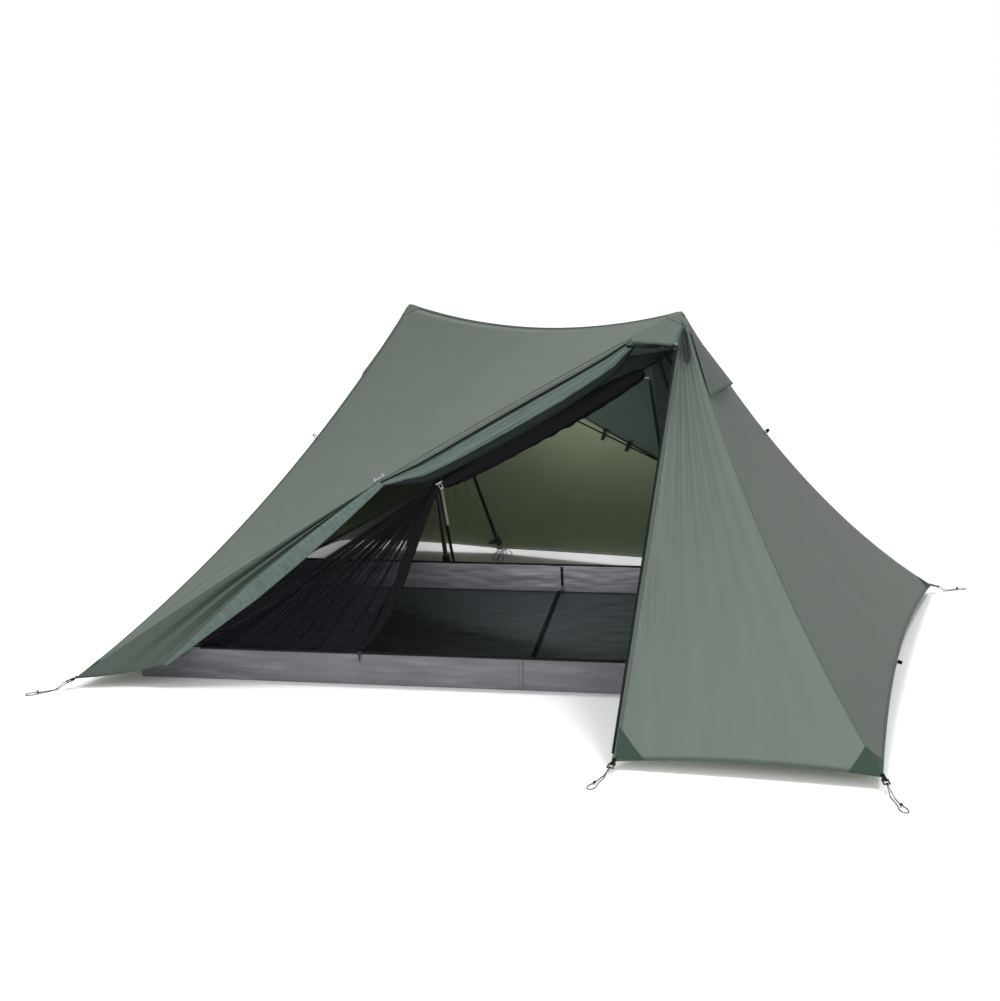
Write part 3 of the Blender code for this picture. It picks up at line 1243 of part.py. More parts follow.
def base_patch(finish):
    """The flat reinforcement beside the zip's foot."""
    hem = faceted_curve(BASE_FRONT, FRONT_RIGHT, VESTIBULE_HEM_BOW, VESTIBULE_COLUMNS)
    across = (FRONT_RIGHT - BASE_FRONT).normalized()
    beside = across * (ZIP_WIDTH / 2 + SLIDER_GAP + SLIDER_WALL * PATCH_BESIDE_SHARE)
    reach = (PEAK_RIGHT - BASE_FRONT).length
    corners = [hem(PATCH_TIP_SHARE), hem(PATCH_REACH / (FRONT_RIGHT - BASE_FRONT).length),
               ZIP_LINE_FRONT(1 - PATCH_SEAM_REACH / reach) + beside,
               ZIP_LINE_FRONT(ZIP_END_SHARE - PATCH_TIP_SHARE) + beside]
    points = []
    for level in (PATCH_GAP, PATCH_GAP + PATCH_THICKNESS):
        points += [corner + VESTIBULE_NORMAL * level for corner in corners]
    faces = [(0, 1, 2, 3), (4, 5, 6, 7)]
    faces += [(side, (side + 1) % 4, (side + 1) % 4 + 4, side + 4) for side in range(4)]
    return make_object("patch", points, faces, finish)


def add_strap(patch, name, stake):
    """Sew the webbing that carries the cord lock onto a patch."""
    start, out, side, top = stake_frame(stake)
    anchor, _, peak, patch_out = STAKES[stake]
    rise = (peak - anchor).normalized()
    patch_top = square_to(patch_out, rise)
    tongue = block("tongue", patch.data.materials[0],
                   start + rise * (STRAP_INSET / 2 - BAND_WALL),
                   (rise, rise.cross(patch_top), patch_top),
                   (STRAP_INSET + BAND_WALL * 2, WEB_WIDTH, WEB_THICKNESS))
    band = ring_block("band", patch.data.materials[0], start + out * (BAND_REACH / 2 + BAND_SHIFT),
                      (out, top, side), (BAND_REACH, BAND_HEIGHT),
                      (BAND_REACH - BAND_WALL * 2, BAND_HEIGHT - BAND_WALL * 2), WEB_WIDTH)
    return fuse(name, patch, [tongue, band])


def cord_lock(name, finish, stake):
    """A flat frame whose inner bar sits in the webbing's band."""
    start, out, side, top = stake_frame(stake)
    inner_bar = BAND_REACH - BAND_WALL - FIT_GAP - LOCK_BAR
    centre = start + out * (inner_bar + LOCK_LENGTH / 2)
    return ring_block(name, finish, centre, (out, side, top), (LOCK_LENGTH, LOCK_WIDTH),
                      (LOCK_LENGTH - LOCK_BAR * 2, WEB_WIDTH + FIT_GAP * 2), LOCK_THICKNESS)


def build_stake_points(patch_finish, lock_finish):
    """A sewn reinforcement, its webbing and a cord lock at each corner and door base."""
    end_hem = faceted_curve(FRONT_RIGHT, REAR_RIGHT, END_HEM_BOW, END_COLUMNS)
    side_hem = faceted_curve(BASE_FRONT, FRONT_RIGHT, VESTIBULE_HEM_BOW, VESTIBULE_COLUMNS)
    end_share = PATCH_REACH / FLY_WIDTH
    side_share = PATCH_REACH / (FRONT_RIGHT - BASE_FRONT).length
    crease_share = PATCH_REACH / (REAR_RIGHT - PEAK_LEFT).length
    away = 1 - PATCH_TIP_SHARE
    front = corner_patch(
        patch_finish, END_SEAM_RIGHT(away),
        END_SEAM_RIGHT(1 - PATCH_SEAM_REACH / (FRONT_RIGHT - PEAK_RIGHT).length),
        (side_hem(1 - side_share), end_hem(end_share)), (VESTIBULE_NORMAL, END_RIGHT_NORMAL))
    rear = corner_patch(
        patch_finish, MAIN_SEAM_RIGHT(away),
        MAIN_SEAM_RIGHT(1 - PATCH_SEAM_REACH / (REAR_RIGHT - PEAK_RIGHT).length),
        (end_hem(1 - end_share), CLOSED_CREASE(1 - crease_share)),
        (END_RIGHT_NORMAL, MAIN_REAR_NORMAL))
    left = corner_patch(
        patch_finish, MAIN_SEAM_LEFT(away),
        MAIN_SEAM_LEFT(1 - PATCH_SEAM_REACH / (REAR_RIGHT - PEAK_RIGHT).length),
        (half_turn(end_hem(1 - end_share)), OPEN_CREASE(1 - crease_share)),
        (END_LEFT_NORMAL, MAIN_FRONT_NORMAL))
    base = base_patch(patch_finish)
    for stake, patch in zip(STAKES, (front, rear, left, base)):
        add_strap(patch, "reinforcement_" + stake, stake)
        lock = cord_lock("cord_lock_" + stake, lock_finish, stake)
        if stake in OPPOSITE:
            copy_half_turn(patch, "reinforcement_" + OPPOSITE[stake])
            copy_half_turn(lock, "cord_lock_" + OPPOSITE[stake])


def toggle_bar(name, finish, start, direction, length):
    """A short round bar with slightly domed ends."""
    end = TOGGLE_RADIUS / 2
    dome = TOGGLE_RADIUS * TOGGLE_DOME_SHARE
    profile = [(0, 0), (dome, 0), (TOGGLE_RADIUS, end), (TOGGLE_RADIUS, length - end),
               (dome, length), (0, length)]
    return turned(name, finish, profile, start, direction, 8)


def build_toggles(finish):
    """What holds the rolled doors: two toggles on the fly's crease and one on the inner's."""
    share = TOGGLE_SHARE
    along = (OPEN_CREASE(share + NEXT_SHARE) - OPEN_CREASE(share)).normalized()
    up_panel = square_to(MAIN_SEAM_LEFT(share) - OPEN_CREASE(share), along)
    out = along.cross(up_panel)
    out = out if out.dot(MAIN_FRONT_NORMAL) > 0 else -out
    middle = OPEN_CREASE(share) + up_panel * (TOGGLE_LENGTH * TOGGLE_RISE_SHARE)
    middle = middle + out * (WEB_THICKNESS / 2 - FIT_GAP)
    strip = block("toggle_strip", finish, middle, (along, up_panel, out),
                  (TOGGLE_SPACING + WEB_WIDTH, WEB_WIDTH, WEB_THICKNESS))
    toggles = []
    for offset in (-TOGGLE_SPACING / 2, TOGGLE_SPACING / 2):
        start = middle + along * offset - up_panel * (TOGGLE_LENGTH / 2)
        start = start + out * (WEB_THICKNESS / 2 + TOGGLE_RADIUS * TOGGLE_SINK_SHARE)
        toggles.append(toggle_bar("toggle_bar", finish, start, up_panel, TOGGLE_LENGTH))
    fuse("fly_door_toggles_front", strip, toggles)

    share = INNER_TOGGLE_SHARE
    along = (INNER_CREASE(share + NEXT_SHARE) - INNER_CREASE(share)).normalized()
    out = INNER_SIDE_NORMAL
    hang = square_to(ROLL_HANG_SHARES, along)
    out = square_to(out, hang)
    clear_of_roll = INNER_ROLL_END_SIZE / 2 + WEB_THICKNESS / 2 + FIT_GAP * 2
    start = INNER_CREASE(share) + out * clear_of_roll + hang * TOGGLE_RADIUS
    loop = ring_block("toggle_loop", finish, start + hang * (LOOP_SIZE / 2),
                      (hang, out.cross(hang), out), (LOOP_SIZE, WEB_WIDTH),
                      (LOOP_SIZE * LOOP_HOLE_SHARE, WEB_WIDTH * LOOP_HOLE_SHARE), WEB_THICKNESS)
    side = out.cross(hang)
    bar = toggle_bar("toggle_bar", finish, start - side * (TOGGLE_LENGTH / 2) + out * TOGGLE_RADIUS,
                     side, TOGGLE_LENGTH)
    fuse("inner_door_toggle", loop, [bar])


def build_inner_hangers(finish):
    """A small cap over each inner peak, hung by a strap from the pole seat."""
    lines = [reverse(INNER_RIDGE), INNER_CREASE, INNER_ZIP_LINE, INNER_END_RIGHT,
             INNER_SIDE_RIGHT]
    normals = [INNER_ROOF_NORMAL, INNER_SIDE_NORMAL, INNER_SIDE_NORMAL, INNER_END_NORMAL,
               half_turn(INNER_ROOF_NORMAL)]
    rings = {"inner": [], "outer": []}
    for number, line in enumerate(lines):
        along = (line(1 / INNER_ROWS) - INNER_PEAK_RIGHT).normalized()
        out = mitre(normals[number - 1], normals[number])
        edge = INNER_PEAK_RIGHT + along * INNER_CAP_REACH
        rings["inner"].append(edge + out * CAP_GAP)
        rings["outer"].append(edge + out * (CAP_GAP + CAP_THICKNESS))
    top = INNER_PEAK_RIGHT + UP * (CAP_GAP + CAP_THICKNESS * 2)
    bottom = INNER_PEAK_RIGHT + UP * CAP_GAP
    points = [top] + rings["outer"] + [bottom] + rings["inner"]
    sides = len(lines)
    low = sides + 1
    faces = []
    for side in range(sides):
        here, after = 1 + side, 1 + (side + 1) % sides
        faces += [(0, here, after), (low, low + after, low + here)]
        faces += [(here, low + here, low + after, after)]
    cap = make_object("hanger_cap", points, faces, finish)

    inner = SEAT_RADIUS + FIT_GAP * CLIP_GAP_SHARE
    outer = inner + CLIP_WALL
    profile = [(inner, CLIP_TOP), (outer, CLIP_TOP), (outer, CLIP_BOTTOM), (inner, CLIP_BOTTOM)]
    ring = turned("hanger_clip", finish, profile, PEAK_RIGHT, POLE_AXIS, 12)
    close_bore(ring)
    away = square_to(Vector((0, 1, 0)), POLE_AXIS)
    centre = PEAK_RIGHT + POLE_AXIS * ((CLIP_TOP + CLIP_BOTTOM) / 2)
    mouth = block("clip_mouth", finish, centre - away * (outer - outer * CLIP_MOUTH_SHARE),
                  (away, away.cross(POLE_AXIS), POLE_AXIS), (outer * 2, outer * 3, outer * 3))
    combine(ring, mouth, "DIFFERENCE")
    remove_objects(bake(ring))
    strap_top = centre + away * ((inner + outer) / 2)
    strap_foot = INNER_PEAK_RIGHT + UP * (CAP_GAP + CAP_THICKNESS)
    fall = (strap_foot - strap_top).normalized()
    side = square_to(Vector((1, 0, 0)), fall)
    strap = block("hanger_strap", finish, (strap_top + strap_foot) / 2,
                  (side, fall, side.cross(fall)),
                  (SEAT_RADIUS, (strap_foot - strap_top).length, STRAP_THICKNESS))
    fuse("inner_hanger_right", cap, [ring, strap])
    copy_half_turn(cap, "inner_hanger_left")


def tube(name, finish, points, diameter, resolution=2):
    """A cord as a curve with a round section and closed ends."""
    line = bpy.data.curves.new(name, "CURVE")
    line.dimensions = "3D"
    line.bevel_depth = diameter / 2
    line.bevel_resolution = resolution
    line.use_fill_caps = True
    spline = line.splines.new("POLY")
    spline.points.add(len(points) - 1)
    for node, point in zip(spline.points, points):
        node.co = (*point, 1)
    made = bpy.data.objects.new(name, line)
    bpy.context.scene.collection.objects.link(made)
    line.materials.append(finish)
    return made


# Stake cord route beyond its lock: distance out, to the side, and height, which is a share of
# the drop to the ground. The cord comes over the lock's outer bar and goes back under it.
CORD_RISE = LOCK_THICKNESS / 2 + CORD_DIAMETER / 2 + CORD_LIFT
CORD_ROUTE = [
    (0.016, 0.0000, 0.80), (0.034, 0.0030, 0.25), (0.055, 0.0042, 0.00), (0.080, 0.0050, 0.00),
    (0.098, 0.0090, 0.00), (0.112, 0.0110, 0.00), (0.126, 0.0075, 0.00), (0.131, 0.0000, 0.00),
    (0.126, -0.0075, 0.00), (0.112, -0.0110, 0.00), (0.098, -0.0090, 0.00),
    (0.080, -0.0050, 0.00), (0.055, -0.0042, 0.00), (0.034, -0.0036, 0.00),
]
CORD_STEP = 0.0110


def smooth_route(points, step):
    """Points along one smooth curve through the route's points."""
    ends = [points[0] * 2 - points[1]] + points + [points[-1] * 2 - points[-2]]
    result = [points[0]]
    for one, two, three, four in zip(ends, ends[1:], ends[2:], ends[3:]):
        steps = max(1, round((three - two).length / step))
        for number in range(1, steps + 1):
            t = number / steps
            result.append(0.5 * (two * 2 + (three - one) * t
                                 + (one * 2 - two * 5 + three * 4 - four) * t * t
                                 + (two * 3 - one - three * 3 + four) * t * t * t))
    return result


def cord_points(name):
    """The stake cord's route in the tent's frame."""
    start, out, side, top = stake_frame(name)
    lock_start = BAND_REACH - BAND_WALL - FIT_GAP - LOCK_BAR
    bar = start + out * (lock_start + LOCK_LENGTH - LOCK_BAR / 2)
    hole = LOCK_BAR / 2 + CORD_DIAMETER / 2 + CORD_LIFT
    over = [bar - out * hole + top * CORD_DIAMETER * 0.2, bar - out * hole * 0.7 + top * CORD_RISE,
            bar + out * hole * 0.7 + top * CORD_RISE]
    under = [bar + out * hole * 0.7 - top * CORD_RISE, bar - out * hole * 0.7 - top * CORD_RISE]
    flat = Vector((out.x, out.y, 0)).normalized()
    points = []
    for away, across, height in CORD_ROUTE:
        level = CORD_ENDS_LEVEL + (bar.z - CORD_ENDS_LEVEL) * height
        point = bar + flat * away + side * across
        points.append(Vector((point.x, point.y, level)))
    route = smooth_route(over + points + under, CORD_STEP)
    return [Vector((point.x, point.y, max(point.z, CORD_ENDS_LEVEL))) for point in route]


def build_cords(finish):
    """One stake cord at each point where the photograph shows it."""
    for stake in STAKES:
        cord = tube("stake_cord_" + stake, finish, cord_points(stake), CORD_DIAMETER)
        if stake == "base_front":
            copy_half_turn(cord, "stake_cord_" + OPPOSITE[stake])


def vestibule_point(down, across):
    """A point on the front vestibule panel, above its folds."""
    return ZIP_LINE_FRONT(down).lerp(END_SEAM_RIGHT(down), across)


def build_hank(finish):
    """The guyline: from the peak's cap into long loops that lie on the vestibule panel."""
    top, end = vestibule_point(*HANK_TOP), vestibule_point(*HANK_END)
    down = (end - top).normalized()
    side = square_to(END_SEAM_RIGHT(HANK_END[0]) - ZIP_LINE_FRONT(HANK_END[0]), down)
    out = side.cross(down)
    out = out if out.dot(VESTIBULE_NORMAL) > 0 else -out
    length = (end - top).length
    lift = HANK_CORD_DIAMETER / 2 + HANK_LIFT
    points = []
    steps = HANK_LOOPS * HANK_LOOP_POINTS
    for number in range(steps + 1):
        turn = 2 * math.pi * number / HANK_LOOP_POINTS
        along = length / 2 * (1 - math.cos(turn))
        waist = 1 - HANK_WAIST * math.sin(turn) ** 2
        across = HANK_WIDTH / 2 * math.sin(turn) * waist
        level = lift + HANK_PITCH * number / HANK_LOOP_POINTS
        points.append(top + down * along + side * across + out * level)
    cap_level = CAP_GAP + CAP_THICKNESS + HANK_CORD_DIAMETER / 2 + CORD_LIFT
    cap_point = vestibule_point(CAP_REACH * HANK_EXIT_SHARE / ZIP_LINE_LENGTH, HANK_TOP[1])
    lead = [cap_point + out * cap_level, cap_point.lerp(top, 0.5) + out * cap_level]
    points = lead + points
    tube("guyline_hank", finish, points, HANK_CORD_DIAMETER, resolution=1)
    gap = min((one - two).length for index, one in enumerate(points)
              for two in points[index + HANK_LOOP_POINTS // 2:])
    print("hank least gap mm", round((gap - HANK_CORD_DIAMETER) * 1000, 3))


def main():
    clear_scene()
    fly = material("fly_fabric", FLY_GREEN, 0.55)
    door = material("door_fabric", DOOR_GREEN, 0.50)
    trim = material("reinforcement", TRIM_GREEN, 0.70)
    mesh = material("inner_mesh", MESH_BLACK, 0.80)
    walls = material("bathtub_fabric", BATHTUB_GREY, 0.50)
    floor = material("floor_fabric", FLOOR_GREY, 0.50)
    cord = material("cord", CORD_BLACK, 0.80)
    plastic = material("black_plastic", CORD_BLACK, 0.45)
    toggle = material("toggle", TOGGLE_GREY, 0.50)
    metal = material("pole_alloy", METAL_GREY, 0.35, 0.9)
    build_fly(fly, door)
    build_peak_caps(fly)
    build_vents(fly, plastic)
    build_fly_zips(plastic, toggle)
    build_stake_points(trim, plastic)
    build_toggles(toggle)
    build_inner_mesh(mesh)
    build_inner_front_door(mesh)
    build_inner_floor(floor, walls)
    build_inner_zips(plastic, plastic)
    build_inner_hangers(cord)
    build_poles(metal, plastic, plastic)
    build_cords(cord)
    build_hank(cord)


main()
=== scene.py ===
"""Looks for the two-pole tent: its cloth, mesh, webbing and cords, the light and the camera."""

import math

import bpy
import numpy as np
from mathutils import Matrix


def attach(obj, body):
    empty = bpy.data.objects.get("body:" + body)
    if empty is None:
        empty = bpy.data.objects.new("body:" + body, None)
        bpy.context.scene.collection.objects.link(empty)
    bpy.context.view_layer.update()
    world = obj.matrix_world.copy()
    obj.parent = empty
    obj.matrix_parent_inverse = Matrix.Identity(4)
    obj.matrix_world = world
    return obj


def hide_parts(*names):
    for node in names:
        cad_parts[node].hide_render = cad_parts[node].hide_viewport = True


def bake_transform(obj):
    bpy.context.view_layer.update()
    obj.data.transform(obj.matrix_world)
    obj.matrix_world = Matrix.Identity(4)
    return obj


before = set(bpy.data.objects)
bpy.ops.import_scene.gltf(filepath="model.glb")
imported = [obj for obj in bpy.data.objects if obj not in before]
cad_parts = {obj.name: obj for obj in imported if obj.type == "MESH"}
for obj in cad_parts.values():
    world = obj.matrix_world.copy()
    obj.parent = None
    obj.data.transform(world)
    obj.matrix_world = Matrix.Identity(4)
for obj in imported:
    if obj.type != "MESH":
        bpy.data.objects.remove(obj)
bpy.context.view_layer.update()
scene = bpy.context.scene
noise_source = np.random.default_rng(7)
UP = np.array([0.0, 0.0, 1.0])
FULL_TURN = 2 * math.pi


def add_object(name, data):
    made = bpy.data.objects.new(name, data)
    scene.collection.objects.link(made)
    return made


# Vectors and curves
def vec(*values):
    return np.array(values, float)


def unit(v):
    return v / np.linalg.norm(v, axis=-1, keepdims=True)


def same(p):
    return p


def half_turn(p):
    return np.asarray(p) * vec(-1, -1, 1)


RIGHT_LEFT = (("right", same), ("left", half_turn))
FRONT_REAR = (("front", same), ("rear", half_turn))


def dot(one, two):
    return (one * two).sum(-1, keepdims=True)


def square_to(direction, along):
    """The part of a direction that is square to a path."""
    return unit(direction - along * dot(direction, along))


def facing(direction, out):
    """The direction or its opposite, whichever faces outward."""
    return direction if direction @ out > 0 else -direction


def outward(first, second, third):
    """The outward normal of a triangle on the tent."""
    middle = (first + second + third) / 3 - vec(0, 0, 0.39)
    return facing(unit(np.cross(second - first, third - first)), middle)


def bow(share):
    """A rise from 0 to 1 and back along a line."""
    return 4 * share * (1 - share)


def hump(value, middle, wide):
    """A smooth rise to 1 at the middle, and nothing far from it."""
    return np.exp(-((value - middle) / wide) ** 2)


def around(count):
    return np.linspace(0, FULL_TURN, count, endpoint=False)


def ringed(turn, reach):
    """Places round a ring, from their angles and distances."""
    return np.stack([np.cos(turn) * reach, np.sin(turn) * reach], -1)


def curve(start, end, sag=(0, 0, 0)):
    """A bowed line as a function of its share."""
    sag = np.array(sag, float)

    def at(share):
        share = np.asarray(share, float)[..., None]
        return start + (end - start) * share + sag * bow(share)
    return at


def backward(line):
    return lambda share: line(1 - np.asarray(share, float))


def turned(line):
    return lambda share: half_turn(line(share))


def part_of(line, start, end):
    return lambda share: line(start + (end - start) * np.asarray(share, float))


def smooth_route(points, step):
    """Points along one smooth curve through the route's points."""
    ends = [points[0] * 2 - points[1]] + list(points) + [points[-1] * 2 - points[-2]]
    result = [points[0]]
    for one, two, three, four in zip(ends, ends[1:], ends[2:], ends[3:]):
        steps = max(1, round(np.linalg.norm(three - two) / step))
        for number in range(1, steps + 1):
            t = number / steps
            result.append(0.5 * (two * 2 + (three - one) * t
                                 + (one * 2 - two * 5 + three * 4 - four) * t * t
                                 + (two * 3 - one - three * 3 + four) * t ** 3))
    return result


def waves(u, v, size):
    """Soft ripples of about this size, the same each run."""
    total, count = 0, 10
    for _ in range(count):
        turn = noise_source.uniform(0, FULL_TURN)
        reach = FULL_TURN / (size * noise_source.uniform(0.7, 1.6))
        phase = noise_source.uniform(0, FULL_TURN)
        total = total + np.sin((u * math.cos(turn) + v * math.sin(turn)) * reach + phase)
    return total / math.sqrt(count)


# The tent's points and lines
PEAK_RIGHT = vec(0.511, -0.067, 1.170)
PEAK_LEFT = half_turn(PEAK_RIGHT)
CAP_REACH = 0.052
FRONT_LEFT = vec(-1.275, -0.972, 0.030)
FRONT_RIGHT = vec(1.275, -0.972, 0.030)
REAR_RIGHT = half_turn(FRONT_LEFT)
BASE_FRONT = vec(0.559, -1.069, 0.020)
STRIP_FOOT = FRONT_LEFT + vec(0.275, 0.107, 0.040)
RIDGE = curve(PEAK_LEFT, PEAK_RIGHT, (0, 0, -0.069))
MAIN_SEAM_RIGHT = curve(PEAK_RIGHT, REAR_RIGHT, (-0.028, -0.029, -0.073))
END_SEAM_RIGHT = curve(PEAK_RIGHT, FRONT_RIGHT, (-0.036, 0.036, -0.062))
OPEN_CREASE = curve(PEAK_RIGHT, FRONT_LEFT, (-0.040, 0.040, 0.020))
CLOSED_CREASE = curve(PEAK_LEFT, REAR_RIGHT, (0, -0.030, -0.070))
ZIP_FRONT = curve(PEAK_RIGHT, BASE_FRONT)
ZIP_REAR = turned(ZIP_FRONT)
MAIN_SEAM_LEFT = turned(MAIN_SEAM_RIGHT)
END_HEM = curve(FRONT_RIGHT, REAR_RIGHT, (-0.036, 0, 0.053))
SIDE_HEM = curve(BASE_FRONT, FRONT_RIGHT, (0, 0.010, 0.014))
DOOR_HEM = curve(REAR_RIGHT, half_turn(BASE_FRONT), (0, -0.012, 0.018))
MAIN_OUT = outward(FRONT_LEFT, PEAK_LEFT, PEAK_RIGHT)
END_OUT = outward(PEAK_RIGHT, FRONT_RIGHT, REAR_RIGHT)
SIDE_OUT = outward(PEAK_RIGHT, BASE_FRONT, FRONT_RIGHT)
DOOR_OUT = outward(PEAK_RIGHT, FRONT_LEFT, BASE_FRONT)


def mitre(one, two):
    """The direction between two normals that keeps its height over both planes."""
    return (one + two) / (1 + one @ two)


ALONG_INNER = vec(0.97992, 0.19937, 0)
INNER_FRONT = vec(0.19937, -0.97992, 0)
BATHTUB_HEIGHT, MESH_FOOT, CLOTH_THICKNESS = 0.110, 0.1114, 0.0006
INNER_HALF_WIDTH, INNER_HALF_LENGTH, INNER_DOOR_END = 0.569, 1.130, 0.528


def inner_front(x, z):
    """A point on the inner tent's front side, from its x and height."""
    return vec(x, (x * INNER_FRONT[0] - INNER_HALF_WIDTH) / -INNER_FRONT[1], z)


INNER_PEAK = PEAK_RIGHT - UP * 0.120
INNER_FL = inner_front(-INNER_HALF_LENGTH, MESH_FOOT)
INNER_FR = inner_front(INNER_HALF_LENGTH, MESH_FOOT)
INNER_RR, INNER_BASE = half_turn(INNER_FL), inner_front(INNER_DOOR_END, MESH_FOOT)
INNER_RIDGE = curve(half_turn(INNER_PEAK), INNER_PEAK, (0, 0, -0.060))
INNER_SIDE = curve(INNER_PEAK, INNER_RR, (-0.020, -0.020, -0.040))
INNER_END = curve(INNER_PEAK, INNER_FR, (-0.022, 0.004, -0.034))
INNER_CREASE = curve(INNER_PEAK, INNER_FL, (0, 0.004, -0.006))
INNER_ZIP = curve(INNER_PEAK, INNER_BASE)
INNER_ROOF_OUT = outward(INNER_FL, half_turn(INNER_PEAK), INNER_PEAK)
INNER_END_OUT = outward(INNER_PEAK, INNER_FR, INNER_RR)
INNER_SIDE_OUT = outward(INNER_PEAK, INNER_BASE, INNER_FR)


class Panel:
    """A cut of cloth between two edge lines, with its third edge and its relief."""

    def __init__(self, left, right, far, out, relief=None, start=0.01, end=1.0):
        self.left, self.right, self.far, self.out = left, right, far, out
        self.relief, self.start, self.end = relief, start, end

    def turned(self):
        return Panel(turned(self.left), turned(self.right), turned(self.far),
                     half_turn(self.out), self.relief, self.start, self.end)

    def __call__(self, across, down):
        """The place at a share across, from left to right, and a share down."""
        across, down = np.broadcast_arrays(np.asarray(across, float), np.asarray(down, float))
        one, two = self.left(down), self.right(down)
        end = self.left(1.0) + (self.right(1.0) - self.left(1.0)) * across[..., None]
        place = one + (two - one) * across[..., None]
        place = place + (self.far(across) - end) * (down ** 3)[..., None]
        if self.relief is not None:
            place = place + self.out * self.relief(across, down)[..., None]
        return place

    def normal(self, across, down, near=0.002):
        one = self(across + near, down) - self(across - near, down)
        two = self(across, down + near) - self(across, down - near)
        normal = unit(np.cross(one, two))
        return normal if (normal @ self.out).mean() > 0 else -normal

    def grid(self, rows, columns, lift=0.0):
        down = np.linspace(self.start, self.end, rows + 1)[:, None]
        across = np.linspace(0, 1, columns + 1)[None, :]
        points = self(across, down)
        return points + self.normal(across, down) * lift if lift else points

    def tape(self, edge, width, lift, start=0.0, end=1.0, inset=0.0, steps=60, under=False):
        """A sewn strip along one edge, raised off the cloth between its two sides."""
        along = np.linspace(start, end, steps + 1)[:, None]
        offsets = (inset + width * vec(0, 0.05, 0.5, 0.95, 1))[None, :]
        raised = lift * vec(0.1, 1, 1.1, 1, 0.1)[None, :, None] * (-1 if under else 1)
        if edge == "far":
            reach = np.linalg.norm(self(along, 1.0) - self(along, 0.9), axis=-1) / 0.1
            across, down = along + 0 * offsets, 1 - offsets / reach
        else:
            reach = np.linalg.norm(self(1.0, along) - self(0.0, along), axis=-1)
            share = np.minimum(offsets / np.maximum(reach, width + inset), 1)
            across, down = (share if edge == "left" else 1 - share), along + 0 * share
        return self(across, down) + self.normal(across, down) * raised


# Meshes
class Sewing:
    """Collects grids of cloth and closed rolls into one mesh."""

    def __init__(self):
        self.points, self.faces, self.uvs, self.count = [], [], [], 0

    def grid(self, points, uv=None, out=None, wrap=False, close=False, keep=None):
        """Add rows of points as faces that look outward; wrapped rows join into a tube."""
        points = np.asarray(points, float)
        rows, columns = points.shape[:2]
        index = np.arange(rows * columns).reshape(rows, columns) + self.count
        shown = points
        if wrap:
            index = np.concatenate([index, index[:, :1]], 1)
            shown = np.concatenate([points, points[:, :1]], 1)
        if uv is None:
            u = np.linalg.norm(np.diff(shown, axis=1), axis=2).cumsum(1)
            v = np.linalg.norm(np.diff(shown, axis=0), axis=2).cumsum(0)
            u = np.pad(u, ((0, 0), (1, 0)))
            uv = np.stack([u, np.pad(v, ((1, 0), (0, 0)))], -1)
        pick = [(0, 0), (0, 1), (1, 1), (1, 0)]
        cells = [np.s_[i:rows - 1 + i, j:index.shape[1] - 1 + j] for i, j in pick]
        quads = np.stack([index[cell] for cell in cells], -1).reshape(-1, 4)
        corners = np.stack([uv[cell] for cell in cells], 2).reshape(-1, 4, 2)
        spots = np.stack([shown[cell] for cell in cells], 2).reshape(-1, 4, 3)
        across = np.cross(spots[:, 2] - spots[:, 0], spots[:, 3] - spots[:, 1])
        middle = spots.mean(1)
        if wrap:
            centres = np.repeat(points.mean(1)[:-1], index.shape[1] - 1, 0)
            flip = ((middle - centres) * across).sum() < 0
        else:
            flip = out is not None and (across @ np.asarray(out, float)).sum() < 0
        if keep is not None:
            chosen = keep(middle)
            quads, corners = quads[chosen], corners[chosen]
        if flip:
            quads, corners = quads[:, ::-1], corners[:, ::-1]
        self.points.append(points.reshape(-1, 3))
        self.faces += quads.tolist()
        self.uvs.append(corners.reshape(-1, 2))
        self.count += rows * columns
        if wrap and close:
            for row in (0, rows - 1):
                self.points.append(points[row].mean(0)[None])
                ring, flat = index[row], uv[row]
                for one in range(len(ring) - 1):
                    face = [int(self.count), int(ring[one]), int(ring[one + 1])]
                    spot = [flat.mean(0), flat[one], flat[one + 1]]
                    if (row == 0) == flip:
                        face, spot = face[::-1], spot[::-1]
                    self.faces.append(face)
                    self.uvs.append(np.array(spot))
                self.count += 1
        return self

    def roll(self, centres, wides, sizes, section, close=True):
        """A closed section swept along a path; section is one ring or one for each place."""
        centres = np.asarray(centres, float)
        along = unit(np.gradient(centres, axis=0))
        side = square_to(np.broadcast_to(np.asarray(wides, float), centres.shape), along)
        thin = np.cross(along, side)
        sizes = np.broadcast_to(np.asarray(sizes, float), (len(centres), 2))
        section = np.asarray(section, float)
        if section.ndim == 2:
            section = np.broadcast_to(section, (len(centres),) + section.shape)
        points = centres[:, None] + side[:, None] * (section[..., :1] * sizes[:, None, :1])
        points = points + thin[:, None] * (section[..., 1:] * sizes[:, None, 1:])
        return self.grid(points, wrap=True, close=close)

    def make(self, name, finish, slot, body="tent", thickness=0.0, inside=None, replaces=()):
        """One mesh of all that was added, on its body and with its material."""
        mesh = bpy.data.meshes.new(name)
        mesh.from_pydata(np.concatenate(self.points).tolist(), [], self.faces)
        layer = mesh.uv_layers.new(name="UVMap")
        layer.data.foreach_set("uv", np.concatenate(self.uvs).astype(np.float32).ravel())
        mesh.materials.append(finish)
        if inside is not None:
            mesh.materials.append(inside)
        mesh.shade_smooth()
        made = add_object(name, mesh)
        if thickness:
            solid = made.modifiers.new("thickness", "SOLIDIFY")
            solid.thickness, solid.offset = thickness, -1
            solid.material_offset = 1 if inside is not None else 0
        if body is not None:
            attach(made, body)
        if replaces:
            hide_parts(*replaces)
        return made


def flat_uv(points, out, along):
    """Cloth coordinates in metres on a cut that lies nearly flat."""
    first = square_to(along, out)
    return np.stack([points @ first, points @ np.cross(out, first)], -1)


